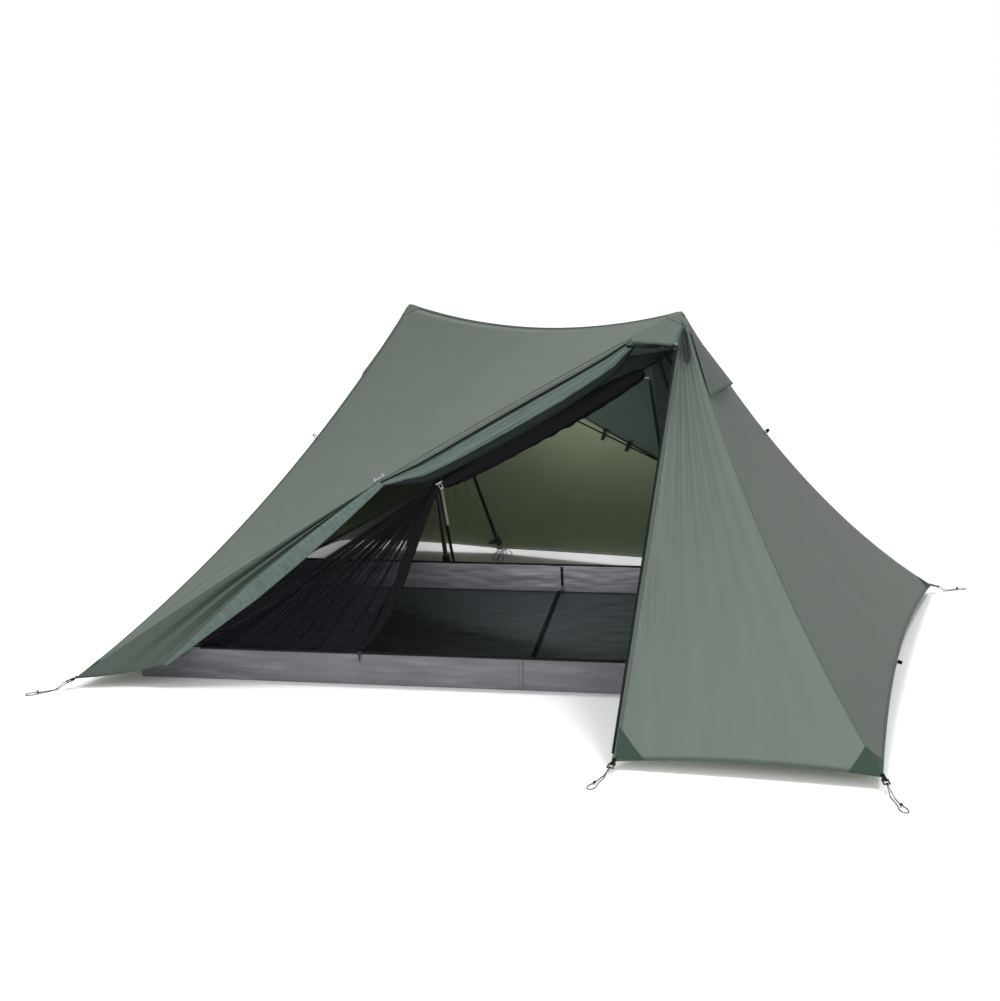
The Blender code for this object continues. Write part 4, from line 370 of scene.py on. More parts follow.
def declare(piece, grid):
    """Work out how large the cloth was cut, from its own grid; the sizes are not kept, and the
    piece comes back as it is.
    """
    widths = np.linalg.norm(np.diff(grid, axis=1), axis=2).sum(1)
    lengths = np.linalg.norm(np.diff(grid, axis=0), axis=2).sum(0)
    one, two = grid[1:, 1:] - grid[:-1, :-1], grid[1:, :-1] - grid[:-1, 1:]
    area = np.linalg.norm(np.cross(one, two), axis=2).sum() / 2
    width, length = float(widths.max()), float(lengths.max())
    area = min(max(area, 0.31 * width * length), width * length)
    return piece


def cut(name, panel, cells, finish, slot, rests_on, held="stretched", metric=True, keep=None,
        **more):
    """Sew one panel's cloth from its grid, with its coordinates in metres if it lies flat."""
    grid = panel.grid(*cells)
    uv = flat_uv(grid, panel.out, panel.far(1.0) - panel.far(0.0)) if metric else None
    made = Sewing().grid(grid, uv, panel.out, keep=keep).make(name, finish, slot, **more)
    return declare(made, grid)


def oval(count, depth=0.0, place=0.0):
    """A round section with one soft groove."""
    turn = around(count)
    reach = 0.5 * (1 - depth * hump(turn, place, 0.22))
    return ringed(turn, reach)


STRAP = vec(-0.5, -0.3, -0.47, -0.5, 0.47, -0.5, 0.5, -0.3,
            0.5, 0.3, 0.47, 0.5, -0.47, 0.5, -0.5, 0.3).reshape(-1, 2)


def strap_along(sewn, points, out, width, thick):
    """A flat strap along a path, with its face turned outward."""
    wide = np.cross(unit(np.gradient(points, axis=0)), np.broadcast_to(unit(out), points.shape))
    sewn.roll(points, wide, (width, thick), STRAP)


def strap_between(sewn, start, end, out, width, thick):
    line = start + (end - start) * np.linspace(0, 1, 24)[:, None]
    strap_along(sewn, line, out, width, thick)


def triangle(tip, one, two, count):
    """A grid that fans from its tip to the line between two other places."""
    u, v = np.meshgrid(np.linspace(0, 1, count), np.linspace(0.02, 1, count))
    u, v = u[..., None], v[..., None]
    return tip + ((one - tip) * (1 - u) + (two - tip) * u) * v


# Materials
def srgb(red, green, blue):
    values = np.array([red, green, blue]) / 255
    linear = np.where(values <= 0.04045, values / 12.92, ((values + 0.055) / 1.055) ** 2.4)
    return tuple(float(value) for value in linear) + (1.0,)


class Finish:
    """A node material with a principled shader, built up from textures."""

    def __init__(self, name, colour, roughness=0.5, **values):
        self.material = bpy.data.materials.new(name)
        self.material.use_nodes = True
        self.tree = self.material.node_tree
        self.shader = self.tree.nodes["Principled BSDF"]
        self.colour, self.bump = colour, None
        self.shader.inputs["Roughness"].default_value = roughness
        for key, value in values.items():
            self.shader.inputs[key.replace("_", " ")].default_value = value
        self.where = self.add("TexCoord")

    def add(self, kind, inputs=(), **settings):
        node = self.tree.nodes.new("ShaderNode" + kind)
        for key, value in settings.items():
            setattr(node, key, value)
        for key, value in dict(inputs).items():
            if isinstance(value, bpy.types.NodeSocket):
                self.tree.links.new(value, node.inputs[key])
            else:
                node.inputs[key].default_value = value
        return node

    def maths(self, operation, one, two=0.5, clamp=False):
        node = self.add("Math", {0: one, 1: two}, operation=operation)
        node.use_clamp = clamp
        return node.outputs[0]

    def times(self, one, two, clamp=False):
        return self.maths("MULTIPLY", one, two, clamp)

    def noise(self, scale, detail=2.0, coords="Object", stretch=(1, 1, 1)):
        place = self.add("Mapping", {"Vector": self.where.outputs[coords], "Scale": stretch})
        return self.add("TexNoise", {"Vector": place.outputs[0], "Scale": scale,
                                     "Detail": detail}).outputs["Fac"]

    def wave(self, period, direction="X", coords="UV", profile="SIN"):
        return self.add("TexWave", {"Vector": self.where.outputs[coords],
                                    "Scale": FULL_TURN / 20 / period}, wave_type="BANDS",
                        bands_direction=direction, wave_profile=profile).outputs["Fac"]

    def tint(self, share, other):
        """Mix another colour in by a texture."""
        mix = self.add("Mix", {"Factor": share, "B": other}, data_type="RGBA")
        if isinstance(self.colour, bpy.types.NodeSocket):
            self.tree.links.new(self.colour, mix.inputs["A"])
        else:
            mix.inputs["A"].default_value = self.colour
        self.colour = mix.outputs["Result"]
        return self

    def emboss(self, height, distance, strength=1.0):
        inputs = {"Height": height, "Distance": distance, "Strength": strength}
        if self.bump is not None:
            inputs["Normal"] = self.bump
        self.bump = self.add("Bump", inputs).outputs["Normal"]
        return self

    def done(self):
        if isinstance(self.colour, bpy.types.NodeSocket):
            self.tree.links.new(self.colour, self.shader.inputs["Base Color"])
        else:
            self.shader.inputs["Base Color"].default_value = self.colour
        if self.bump is not None:
            self.tree.links.new(self.bump, self.shader.inputs["Normal"])
        return self.material


def shade(colour, factor):
    return tuple(min(1.0, value * factor) for value in colour[:3]) + (1.0,)


def woven(name, colour, roughness=0.5, yarn=0.0007, ripstop=0.0055, crinkle=0.0, fold=None,
          strength=1.0, painted_shade_span=None, **values):
    """Coated ripstop cloth: fine yarns, a raised grid, slow changes of tone and small crinkles,
    and folds with painted shade in their valleys and a painted highlight on their ridges.
    """
    made = Finish(name, colour, roughness, **values)
    if fold is not None:
        sharp = made.noise(1.0, 4, "UV", (fold[0], fold[1], 1))
        lines = made.add("MapRange", {0: sharp, 1: 0.36, 2: 0.64}).outputs[0]
        # Painted shade in the fold valleys and a painted highlight on the fold ridges.
        made.tint(made.times(made.maths("SUBTRACT", 1.0, lines), 0.50 * strength),
                  shade(colour, 0.55))
        made.tint(made.times(made.maths("POWER", lines, 3.0), 0.45 * strength),
                  shade(colour, 1.40))
        made.emboss(sharp, 0.0050 * strength)
        # Painted shade: across this span of x the colour darkens in streaks, standing in for the
        # shade under the door's flap.
        if painted_shade_span is not None:
            place = made.add("SeparateXYZ", {0: made.where.outputs["Object"]}).outputs[0]
            near = made.add("MapRange", {0: place, 1: painted_shade_span[0], 2: painted_shade_span[1]}).outputs[0]
            shade_streak = made.maths("SUBTRACT", 1.15, lines, clamp=True)
            made.tint(made.times(near, made.times(shade_streak, 0.95)), shade(colour, 0.30))
    made.tint(made.times(made.noise(2.3, 3), 0.55), shade(colour, 0.84))
    made.tint(made.times(made.noise(17, 4), 0.30), shade(colour, 1.13))
    yarns = made.times(made.wave(yarn), made.wave(yarn, "Y"))
    grid = made.maths("MAXIMUM", made.maths("POWER", made.wave(ripstop), 24.0),
                      made.maths("POWER", made.wave(ripstop, "Y"), 24.0))
    made.tint(made.times(grid, 0.16), shade(colour, 0.72))
    made.emboss(yarns, 0.00006).emboss(grid, 0.00010)
    if crinkle:
        made.emboss(made.noise(55, 5), crinkle)
    made.emboss(made.noise(9, 3), 0.0016)
    return made.done()


def netting(name, colour, alpha):
    """Fine insect mesh: see-through, with its threads as a faint grid."""
    made = Finish(name, colour, 0.75, Specular_IOR_Level=0.12)
    threads = made.maths("MAXIMUM", made.wave(0.0011), made.wave(0.0011, "Y"))
    made.tint(made.times(threads, 0.5), shade(colour, 1.9))
    made.tint(made.times(made.noise(6, 3), 0.4), shade(colour, 0.6))
    spread = made.times(made.maths("SUBTRACT", made.noise(4, 2), 0.5), 0.25)
    dense = made.maths("ADD", spread, alpha, clamp=True)
    made.tree.links.new(dense, made.shader.inputs["Alpha"])
    made.emboss(threads, 0.00012)
    return made.done()


def stitched(name, colour, roughness=0.7, rows=(0.0012, 0.0068), pitch=0.0032, rib=0.0008):
    """Sewn tape or webbing: ribs across it and rows of stitches along it."""
    made = Finish(name, colour, roughness, Specular_IOR_Level=0.2)
    place = made.add("SeparateXYZ", {0: made.where.outputs["UV"]})
    dash = made.maths("GREATER_THAN", made.maths("FRACT", made.maths(
        "DIVIDE", place.outputs[1], pitch)), 0.35)
    thread = None
    for row in rows:
        near = made.maths("LESS_THAN", made.maths("ABSOLUTE", made.maths(
            "SUBTRACT", place.outputs[0], row)), 0.00035)
        thread = near if thread is None else made.maths("MAXIMUM", thread, near)
    thread = made.times(0.0 if thread is None else thread, dash)
    made.tint(made.times(made.noise(30, 3), 0.5), shade(colour, 0.75))
    made.tint(made.times(thread, 0.7), shade(colour, 1.9))
    made.emboss(made.wave(rib, "Y"), 0.00012).emboss(thread, 0.00025)
    return made.done()


def braided(name, colour, fleck, share=0.62):
    """Braided cord with a light fleck in its sheath."""
    made = Finish(name, colour, 0.65)
    weave = made.noise(900, 1)
    made.tint(made.maths("GREATER_THAN", weave, share), fleck)
    made.emboss(made.noise(1400, 1), 0.0003)
    return made.done()


def moulded(name, colour, roughness, metallic=0.0, brushed=False):
    """Moulded plastic or metal with a fine grain and worn edges."""
    made = Finish(name, colour, roughness, Metallic=metallic)
    made.tint(made.times(made.noise(60, 4), 0.35), shade(colour, 0.75))
    edge = made.add("NewGeometry").outputs["Pointiness"]
    worn = made.times(made.maths("SUBTRACT", edge, 0.52, clamp=True), 6.0, clamp=True)
    made.tint(worn, shade(colour, 1.6))
    stretch = (1, 1, 0.05) if brushed else (1, 1, 1)
    rough = made.noise(400, 3, stretch=stretch)
    spread = made.add("MapRange", {0: rough, 3: roughness - 0.08, 4: roughness + 0.10})
    made.tree.links.new(spread.outputs[0], made.shader.inputs["Roughness"])
    made.emboss(rough, 0.00015, 0.6)
    return made.done()


# Cloths given folds carry painted shade in the fold valleys and a painted highlight on the ridges.
FLY = woven("fly_outside", srgb(100, 112, 103), 0.52, crinkle=0.0003, fold=(3, 17), strength=0.16)
# The end panels' copy of the fly cloth, darker: painted shade.
FLY_END_SHADED = woven("fly_outside_end_shaded", srgb(83, 91, 84), 0.54, crinkle=0.0003)
# The vestibules' copy of the fly cloth, a little lighter: painted light.
FLY_SIDE = woven("fly_outside_side", srgb(102, 115, 106), 0.48, crinkle=0.0003, fold=(17, 1.6),
                 strength=0.22)
# The fly's inside: its own olive, made lighter to stand in for light coming through the cloth,
# which is painted light.
FLY_INSIDE = woven("fly_inside", srgb(158, 172, 134), 0.60)
# A darker copy of the fly's inside for the main rear panel: painted shade.
FLY_INSIDE_SHADED = woven("fly_inside_rear_shaded", srgb(68, 82, 74), 0.65, Specular_IOR_Level=0.2)
DOOR = woven("door_fabric", srgb(102, 122, 115), 0.34, crinkle=0.0006, fold=(70, 3.2))
DOOR_STRIP = woven("door_fabric_strip", srgb(102, 122, 115), 0.34, crinkle=0.0006, fold=(16, 75))
# A darker copy of the door fabric for the spread flap: painted shade.
DOOR_SHADED = woven("door_fabric_shaded", srgb(84, 98, 88), 0.46, crinkle=0.0008)
# A near-black copy of the door fabric for the roll's underside: painted shade.
DOOR_UNDER_SHADE = woven("door_fabric_under_shade", srgb(28, 36, 37), 0.60, crinkle=0.0012, fold=(70, 4),
                   Specular_IOR_Level=0.2)
TRIM = stitched("reinforcement", srgb(60, 80, 68), 0.75, rows=(0.004, 0.006))
SEAM = stitched("sewn_seam", srgb(92, 104, 95), 0.60)
HEM = stitched("sewn_hem", srgb(84, 98, 89), 0.60, rows=(0.0014, 0.0085))
BINDING = stitched("black_binding", srgb(15, 15, 18), 0.70, rows=(0.0012, 0.0048))
WEBBING = stitched("black_webbing", srgb(17, 17, 20), 0.75, rows=(0.002, 0.010))
MESH = netting("inner_mesh", srgb(13, 13, 17), 0.55)
MESH_SOFT = netting("inner_mesh_single", srgb(13, 13, 17), 0.34)
MESH_DOOR = netting("inner_mesh_door", srgb(15, 15, 18), 0.46)
# A lighter copy of the black mesh for the gathered door: painted light.
MESH_DENSE = netting("inner_mesh_gathered", srgb(30, 29, 39), 0.54)
MESH_ROLL = woven("inner_mesh_roll", srgb(14, 14, 19), 0.60, yarn=0.0011, crinkle=0.0016,
                  fold=(90, 7), Specular_IOR_Level=0.14)
# The bathtub cloth, with painted shade in streaks at its left end.
WALLS = woven("bathtub_fabric", srgb(126, 128, 134), 0.46, crinkle=0.0006, fold=(5, 34),
              strength=1.2, painted_shade_span=(-0.62, -1.02))
FLOOR = woven("floor_fabric", srgb(60, 66, 70), 0.30, crinkle=0.0012, fold=(5, 30))
CORD = braided("cord", srgb(30, 30, 34), srgb(96, 98, 104))
HANK = braided("guyline", srgb(20, 20, 25), srgb(118, 122, 132), 0.60)
PLASTIC = moulded("black_plastic", srgb(22, 23, 25), 0.42)
TOGGLE = moulded("toggle", srgb(150, 156, 160), 0.45)
METAL = moulded("pole_alloy", srgb(176, 179, 184), 0.32, 0.9, brushed=True)
ZIP = stitched("zip_tape", srgb(16, 17, 20), 0.65, rows=(0.0006, 0.0074))
COIL = stitched("zip_coil", srgb(22, 23, 27), 0.50, rows=(), rib=0.0011)
STRAP_PALE = stitched("pale_tape", srgb(122, 114, 100), 0.70, rows=())


# Camera, light and floor
EYE, FOCAL, IMAGE_WIDTH, IMAGE_HEIGHT = vec(1.552, -4.603, 1.564), 1418, 1000, 1001
yaw, pitch, roll_angle = (math.radians(angle) for angle in (20.32, 12.38, -0.89))
forward = vec(-math.sin(yaw) * math.cos(pitch), math.cos(yaw) * math.cos(pitch), -math.sin(pitch))
level = vec(math.cos(yaw), math.sin(yaw), 0)
above = np.cross(level, forward)
right = level * math.cos(roll_angle) + above * math.sin(roll_angle)
above = -level * math.sin(roll_angle) + above * math.cos(roll_angle)
lens = bpy.data.cameras.new("camera")
lens.lens, lens.sensor_width = FOCAL / IMAGE_HEIGHT * 36, 36
camera = add_object("camera", lens)
camera.matrix_world = Matrix([[right[i], above[i], -forward[i], EYE[i]] for i in range(3)]
                             + [[0, 0, 0, 1]])
scene.camera = camera
scene.render.resolution_x, scene.render.resolution_y = IMAGE_WIDTH, IMAGE_HEIGHT
scene.view_settings.view_transform = "Standard"
scene.cycles.transparent_max_bounces = 24


def area_light(name, place, target, size, power):
    light = bpy.data.lights.new(name, "AREA")
    light.size, light.energy = size, power
    made = add_object(name, light)
    ahead = unit(np.array(target, float) - np.array(place, float))
    side = unit(np.cross(ahead, UP + 0.01))
    turn = np.stack([side, np.cross(side, ahead), -ahead], 1)
    made.matrix_world = Matrix([[*turn[i], place[i]] for i in range(3)] + [[0, 0, 0, 1]])
    made.visible_camera = False


def sunlight(name, energy, angle, ahead):
    sun = bpy.data.lights.new(name, "SUN")
    sun.energy, sun.angle = energy, math.radians(angle)
    made = add_object(name, sun)
    made.rotation_euler = (math.atan2(ahead[1], -ahead[2]), math.atan2(-ahead[0], -ahead[2]), 0)


sunlight("key", 0.8, 14, (0.27, -0.21, -0.98))
sunlight("second", 0.9, 9, (-0.24, -0.32, -0.94))
area_light("inside_glow", (-0.05, -0.12, 0.50), (0.30, 0.80, 0.46), 0.5, 5.2)
area_light("front_fill", (0.9, -2.2, 0.8), (0.15, -0.30, 0.60), 1.0, 5.0)

world = bpy.data.worlds.new("studio")
world.use_nodes = True
scene.world = world
nodes, links = world.node_tree.nodes, world.node_tree.links
path = nodes.new("ShaderNodeLightPath")
direct_ray = nodes.new("ShaderNodeMath")
direct_ray.operation = "MAXIMUM"
links.new(path.outputs["Is Camera Ray"], direct_ray.inputs[0])
links.new(path.outputs["Is Transmission Ray"], direct_ray.inputs[1])
level_of = nodes.new("ShaderNodeMapRange")
links.new(direct_ray.outputs[0], level_of.inputs[0])
level_of.inputs[3].default_value, level_of.inputs[4].default_value = 0.66, 1.0
links.new(level_of.outputs[0], nodes["Background"].inputs["Strength"])
nodes["Background"].inputs["Color"].default_value = (1, 1, 1, 1)

floor_mesh = bpy.data.meshes.new("studio_floor")
FLOOR_REACH = 30
floor_corners = [(x * FLOOR_REACH, y * FLOOR_REACH, 0)
                 for x, y in ((-1, -1), (1, -1), (1, 1), (-1, 1))]
floor_mesh.from_pydata(floor_corners, [], [(0, 1, 2, 3)])
studio_floor = add_object("studio_floor", floor_mesh)
studio_floor.location.z = -0.0006
paper = Finish("studio_floor", (0.90, 0.90, 0.90, 1), 0.9, Specular_IOR_Level=0.1)
paper.tint(paper.add("LightPath").outputs["Is Camera Ray"], (1.08, 1.08, 1.09, 1))
floor_mesh.materials.append(paper.done())


# Cords: their routes repeat the frame's
CORD_DIAMETER, CORD_LIFT, STAKE_SLOPE = 0.0025, 0.0003, 0.30
HANK_TURNS, HANK_TURN_STEPS = 6, 24
STRAP_LIFT, BAND_REACH = 0.0016, 0.014
LOCK_LENGTH, LOCK_BAR, LOCK_THICKNESS, BAND_WALL, FIT_GAP = 0.020, 0.0032, 0.0032, 0.0011, 0.0004
CORD_ENDS_LEVEL = CORD_DIAMETER / 2 + CORD_LIFT
CORD_RISE = LOCK_THICKNESS / 2 + CORD_DIAMETER / 2 + CORD_LIFT
BASE_STRAP = BASE_FRONT + unit(FRONT_RIGHT - BASE_FRONT) * 0.0068
MAIN_MITRE = mitre(END_OUT, half_turn(MAIN_OUT))
STAKES = {
    "front_right": (FRONT_RIGHT, vec(0.046, -0.089, 0), PEAK_RIGHT, mitre(END_OUT, SIDE_OUT)),
    "rear_right": (REAR_RIGHT, vec(0.080, 0.064, 0), PEAK_RIGHT, MAIN_MITRE),
    "front_left": (FRONT_LEFT, vec(-0.076, -0.079, 0), PEAK_LEFT, half_turn(MAIN_MITRE)),
    "base_front": (BASE_STRAP, vec(-0.010, -0.058, 0), PEAK_RIGHT, SIDE_OUT),
}
CORD_ROUTE = [
    (0.016, 0.0000, 0.80), (0.034, 0.0030, 0.25), (0.055, 0.0042, 0.00), (0.080, 0.0050, 0.00),
    (0.098, 0.0090, 0.00), (0.112, 0.0110, 0.00), (0.126, 0.0075, 0.00), (0.131, 0.0000, 0.00),
    (0.126, -0.0075, 0.00), (0.112, -0.0110, 0.00), (0.098, -0.0090, 0.00),
    (0.080, -0.0050, 0.00), (0.055, -0.0042, 0.00), (0.034, -0.0036, 0.00),
]


def stake_frame(name):
    """The strap's start, the way out of it, its side and its upper side."""
    anchor, flat, _, patch_out = STAKES[name]
    flat = unit(flat)
    out = unit(flat - UP * STAKE_SLOPE)
    side = unit(np.cross(UP, flat))
    return anchor + unit(patch_out) * STRAP_LIFT, out, side, np.cross(out, side)


def cord_points(name):
    """The stake cord's route over and back under its lock's bar."""
    start, out, side, top = stake_frame(name)
    lock_start = BAND_REACH - BAND_WALL - FIT_GAP - LOCK_BAR
    bar = start + out * (lock_start + LOCK_LENGTH - LOCK_BAR / 2)
    hole = LOCK_BAR / 2 + CORD_DIAMETER / 2 + CORD_LIFT
    beside = hole * 0.7
    steps = ((-hole, CORD_DIAMETER * 0.2), (-beside, CORD_RISE), (beside, CORD_RISE),
             (beside, -CORD_RISE), (-beside, -CORD_RISE))
    at_bar = [bar + out * away + top * rise for away, rise in steps]
    flat = unit(vec(out[0], out[1], 0))
    points = []
    for away, across, height in CORD_ROUTE:
        point = bar + flat * away + side * across
        point[2] = CORD_ENDS_LEVEL + (bar[2] - CORD_ENDS_LEVEL) * height
        points.append(point)
    route = np.array(smooth_route(at_bar[:3] + points + at_bar[3:], 0.0055))
    route[:, 2] = np.maximum(route[:, 2], CORD_ENDS_LEVEL)
    return route


def tube(name, points, diameter, finish, replaces=()):
    """A cord as a curve with a round section and closed ends."""
    line = bpy.data.curves.new(name, "CURVE")
    line.dimensions = "3D"
    line.bevel_depth, line.bevel_resolution, line.use_fill_caps = diameter / 2, 4, True
    spline = line.splines.new("POLY")
    spline.points.add(len(points) - 1)
    spline.points.foreach_set("co", np.c_[points, np.ones(len(points))].ravel())
    line.materials.append(finish)
    made = add_object(name, line)
    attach(made, "tent")
    if replaces:
        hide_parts(*replaces)
    return made


def knot(name, place, along, size, finish):
    """A small overhand knot drawn tight."""
    turn = np.linspace(0, FULL_TURN, 73)
    loops = np.stack([np.sin(turn) + 2 * np.sin(2 * turn), np.cos(turn) - 2 * np.cos(2 * turn),
                      -np.sin(3 * turn) * 1.3], -1) * size / 8
    first = unit(along)
    second = square_to(UP + 0.02, first)
    axes = np.stack([np.cross(first, second), second, first])
    return tube(name, place + loops @ axes, size * 0.30, finish)


for name in list(STAKES) + ["base_rear"]:
    route = half_turn(cord_points("base_front")) if name == "base_rear" else cord_points(name)
    cord = tube("cord_" + name, route, CORD_DIAMETER, CORD, replaces=("stake_cord_" + name,))
    middle = len(route) // 2
    pinch = (route[middle - 9] + route[middle + 9]) / 2
    pinch[2] = 0.0064
    tied = knot("cord_knot_" + name, pinch, route[middle] - pinch, 0.0105, CORD)


def side_point(down, across):
    """A place on the front panel beside the zip."""
    return ZIP_FRONT(down) + (END_SEAM_RIGHT(down) - ZIP_FRONT(down)) * across


def hank_points():
    """The guyline's route: out of the peak's cap, then in long loops on the panel."""
    top, end = side_point(0.050, 0.35), side_point(0.125, 0.52)
    down, length = unit(end - top), np.linalg.norm(end - top)
    side = square_to(END_SEAM_RIGHT(0.125) - ZIP_FRONT(0.125), down)
    out = facing(np.cross(side, down), SIDE_OUT)
    turn = np.linspace(0, FULL_TURN * HANK_TURNS, HANK_TURN_STEPS * HANK_TURNS + 1)[:, None]
    spread = 0.45 + 0.65 * np.abs(np.sin(turn * 0.31 + 0.4))
    waist = (1 - 0.45 * np.sin(turn) ** 2) * spread
    points = (top + down * length / 2 * (1 - np.cos(turn)) + side * 0.014 * np.sin(turn) * waist
              + out * (0.0013 + 0.0007 + 0.0034 * turn / FULL_TURN))
    start = side_point(CAP_REACH * 0.80 / np.linalg.norm(PEAK_RIGHT - BASE_FRONT), 0.35)
    rise = out * (0.0007 + 0.0012 + 0.0013 + 0.0003)
    return np.concatenate([[start + rise, (start + top) / 2 + rise], points]), down, out


route, hank_down, hank_out = hank_points()
hank = tube("guyline", route, 0.0026, HANK, replaces=("guyline_hank",))
hank_knot = knot("guyline_knot", route[-1] + hank_out * 0.0035, hank_down, 0.0080, HANK)


# Fly panels
def tension(strength, phase, count=3, both=True):
    """Shallow creases that spread from a panel's narrow end, and a few from its wide end."""
    def relief(across, down):
        near = np.exp(-down / 0.20) * down * 9
        made = strength * bow(across) * near * np.sin(FULL_TURN * count * across + phase)
        if both:
            far = np.exp(-(1 - down) / 0.10)
            made = made + strength * 0.5 * bow(across) * far * np.sin(
                FULL_TURN * 5 * across + phase) * (1 - down) * 12
        return made
    return relief


def side_folds(across, down):
    """The folds that fan from the zip's top down the front panel beside it."""
    walked = np.clip((down - 0.045) / 0.93, 0, 1)
    across = np.clip(across, 0, 1)
    fade = bow(walked ** 0.75) ** 0.7 * (1 - 0.55 * walked)
    edge = bow(across) ** 0.5
    fine = np.sin(FULL_TURN * 8 * across ** 0.80 + 0.5)
    broad = np.sin(FULL_TURN * 2.3 * across + 1.2)
    fine = np.where(fine > 0, np.abs(fine) ** 0.8, -np.abs(fine) ** 1.3)
    folds = fade * edge * (0.0052 * fine * (1 - 0.55 * across) + 0.0028 * broad)
    strands = np.sin(FULL_TURN * (15 * across - 3.2 * down)) * np.sin(
        FULL_TURN * (4 * across + 1.3 * down))
    beside = hump(across, 0.10, 0.10) * hump(walked, 0.72, 0.22)
    corner = np.exp(-((1 - walked) / 0.09)) * np.clip((1 - walked) * 30, 0, 1) * edge
    return folds + 0.0034 * strands * beside + 0.0016 * corner * np.sin(
        FULL_TURN * (9 * across + 5 * walked))


def end_folds(across, down):
    """Shallow creases at the foot only, so that the vents' struts fold down freely."""
    return tension(0.0024, 0.2)(across, down) * np.clip((down - 0.40) * 4, 0, 1)


MAIN = Panel(backward(MAIN_SEAM_LEFT), backward(OPEN_CREASE), RIDGE, MAIN_OUT,
             tension(0.0030, 0.6), 0.02)
MAIN_REAR = Panel(backward(MAIN_SEAM_RIGHT), backward(CLOSED_CREASE), backward(RIDGE),
                  half_turn(MAIN_OUT), tension(0.0026, 1.9), 0.02)
END = Panel(END_SEAM_RIGHT, MAIN_SEAM_RIGHT, END_HEM, END_OUT, end_folds, 0.02)
SIDE = Panel(ZIP_FRONT, END_SEAM_RIGHT, SIDE_HEM, SIDE_OUT, side_folds, 0.03)
DOOR_REAR = Panel(CLOSED_CREASE, ZIP_REAR, DOOR_HEM, half_turn(DOOR_OUT), tension(0.0030, 2.6),
                  0.02, 0.997)
GUSSET = Panel(OPEN_CREASE, ZIP_FRONT, curve(OPEN_CREASE(1), ZIP_FRONT(1)), DOOR_OUT, None,
               0.02, 0.090)


def away_from_peaks(middle):
    """Faces to keep: those that don't lie under a cap."""
    near = [np.linalg.norm(middle - peak, axis=1) for peak in (PEAK_RIGHT, PEAK_LEFT)]
    return np.minimum(*near) > 0.026


FLY_PANELS = [
    ("fly_main_panel_front", MAIN, FLY, 60, 60), ("fly_main_panel_rear", MAIN_REAR, FLY, 60, 60),
    ("fly_end_panel_right", END, FLY_END_SHADED, 60, 48),
    ("fly_end_panel_left", END.turned(), FLY_END_SHADED, 60, 48),
    ("fly_vestibule_front", SIDE, FLY_SIDE, 80, 120),
    ("fly_vestibule_rear", SIDE.turned(), FLY_SIDE, 80, 120),
    ("fly_door_rear", DOOR_REAR, FLY_SIDE, 70, 60),
]
for name, panel, finish, rows, columns in FLY_PANELS:
    # The main rear panel's inside takes the darker copy of the lining, which is painted shade.
    lining = FLY_INSIDE_SHADED if panel is MAIN_REAR else FLY_INSIDE
    cut(name.replace("fly", "cloth", 1), panel, (rows, columns), finish, "fly_fabric",
        ["peak_cap_right", "peak_cap_left"], keep=away_from_peaks, thickness=CLOTH_THICKNESS,
        inside=lining, replaces=(name,))

# Sewn seams and hems on the fly
seams, hems, dark = Sewing(), Sewing(), Sewing()
ENDS, SIDES = (END, END.turned()), (SIDE, SIDE.turned())
OUTER_TAPES = [
    (seams, (MAIN, MAIN_REAR), ("left", 0.008, 0.0009, 0.03, 0.97)),
    (seams, (MAIN, MAIN_REAR), ("far", 0.008, 0.0009, 0.04, 0.96)),
    (seams, (MAIN_REAR,), ("right", 0.006, 0.0010, 0.03, 0.97)),
    (seams, ENDS, ("left", 0.008, 0.0009, 0.05, 0.99)),
    (seams, SIDES, ("left", 0.009, 0.0010, 0.10, 0.99, 0.006, 90)),
    (hems, (*ENDS, *SIDES, DOOR_REAR), ("far", 0.010, 0.0009)),
]
for sewn, panels, tape in OUTER_TAPES:
    for panel in panels:
        sewn.grid(panel.tape(*tape), out=panel.out)
for panel, out, tape in ((DOOR_REAR, -DOOR_REAR.out, ("left", 0.008, 0.0022, 0.04, 0.96)),
                         (MAIN_REAR, MAIN_OUT, ("far", 0.006, 0.0022, 0.04, 0.96)),
                         (DOOR_REAR, -DOOR_REAR.out, ("right", 0.016, 0.0022, 0.06, 0.985))):
    dark.grid(panel.tape(*tape, under=True), out=out)
seams.make("fly_seams", SEAM, "fly_fabric")
hems.make("fly_hems", HEM, "fly_fabric")
dark.make("fly_inside_tape", BINDING, "reinforcement")


# The rolled front door, its strip and the part that stays spread
ROLL_START, ROLL_END = 0.080, 0.486
ROLL_HEIGHT, ROLL_WIDTH, ROLL_DOWN = 0.092, 0.036, vec(0.50, -0.10, -0.85)


def door_path():
    along = unit(OPEN_CREASE(ROLL_END) - OPEN_CREASE(ROLL_START))
    hang = square_to(ROLL_DOWN, along)
    walked = np.linspace(0, 1, 73)
    bulge = np.minimum(bow(walked) ** 0.4, (walked / 0.17) ** 0.8)
    bulge = bulge * np.minimum(1, (1 - walked) / 0.14) ** 0.7
    plain = 0.022 - 0.005 * walked
    height, width = (plain + (full - plain) * bulge for full in (ROLL_HEIGHT, ROLL_WIDTH))
    crease_line = OPEN_CREASE(ROLL_START + (ROLL_END - ROLL_START) * walked) + hang * 0.0017
    return walked, crease_line, hang, height, width


walked, crease_line, hang, height, width = door_path()
pinch = crease_line[-1] + hang * height[-1] / 2
strip_line = unit(STRIP_FOOT - pinch)
spread = square_to(STRIP_FOOT - FRONT_LEFT, strip_line)


def strip_width(share):
    """The strip's width: narrow at the toggles, full below them, narrow at the corner."""
    swell = bow(np.minimum(0.02 + 0.95 * share, 0.5))
    wide = 0.017 + 0.039 * swell
    return wide + (0.010 - wide) * np.maximum(0, share - 0.6) / 0.4


def strip_side(share):
    """The direction across the strip, which turns from hanging to lying flat."""
    turn = np.minimum(1, 3 * share)[..., None]
    return square_to(hang + (spread - hang) * turn, strip_line)


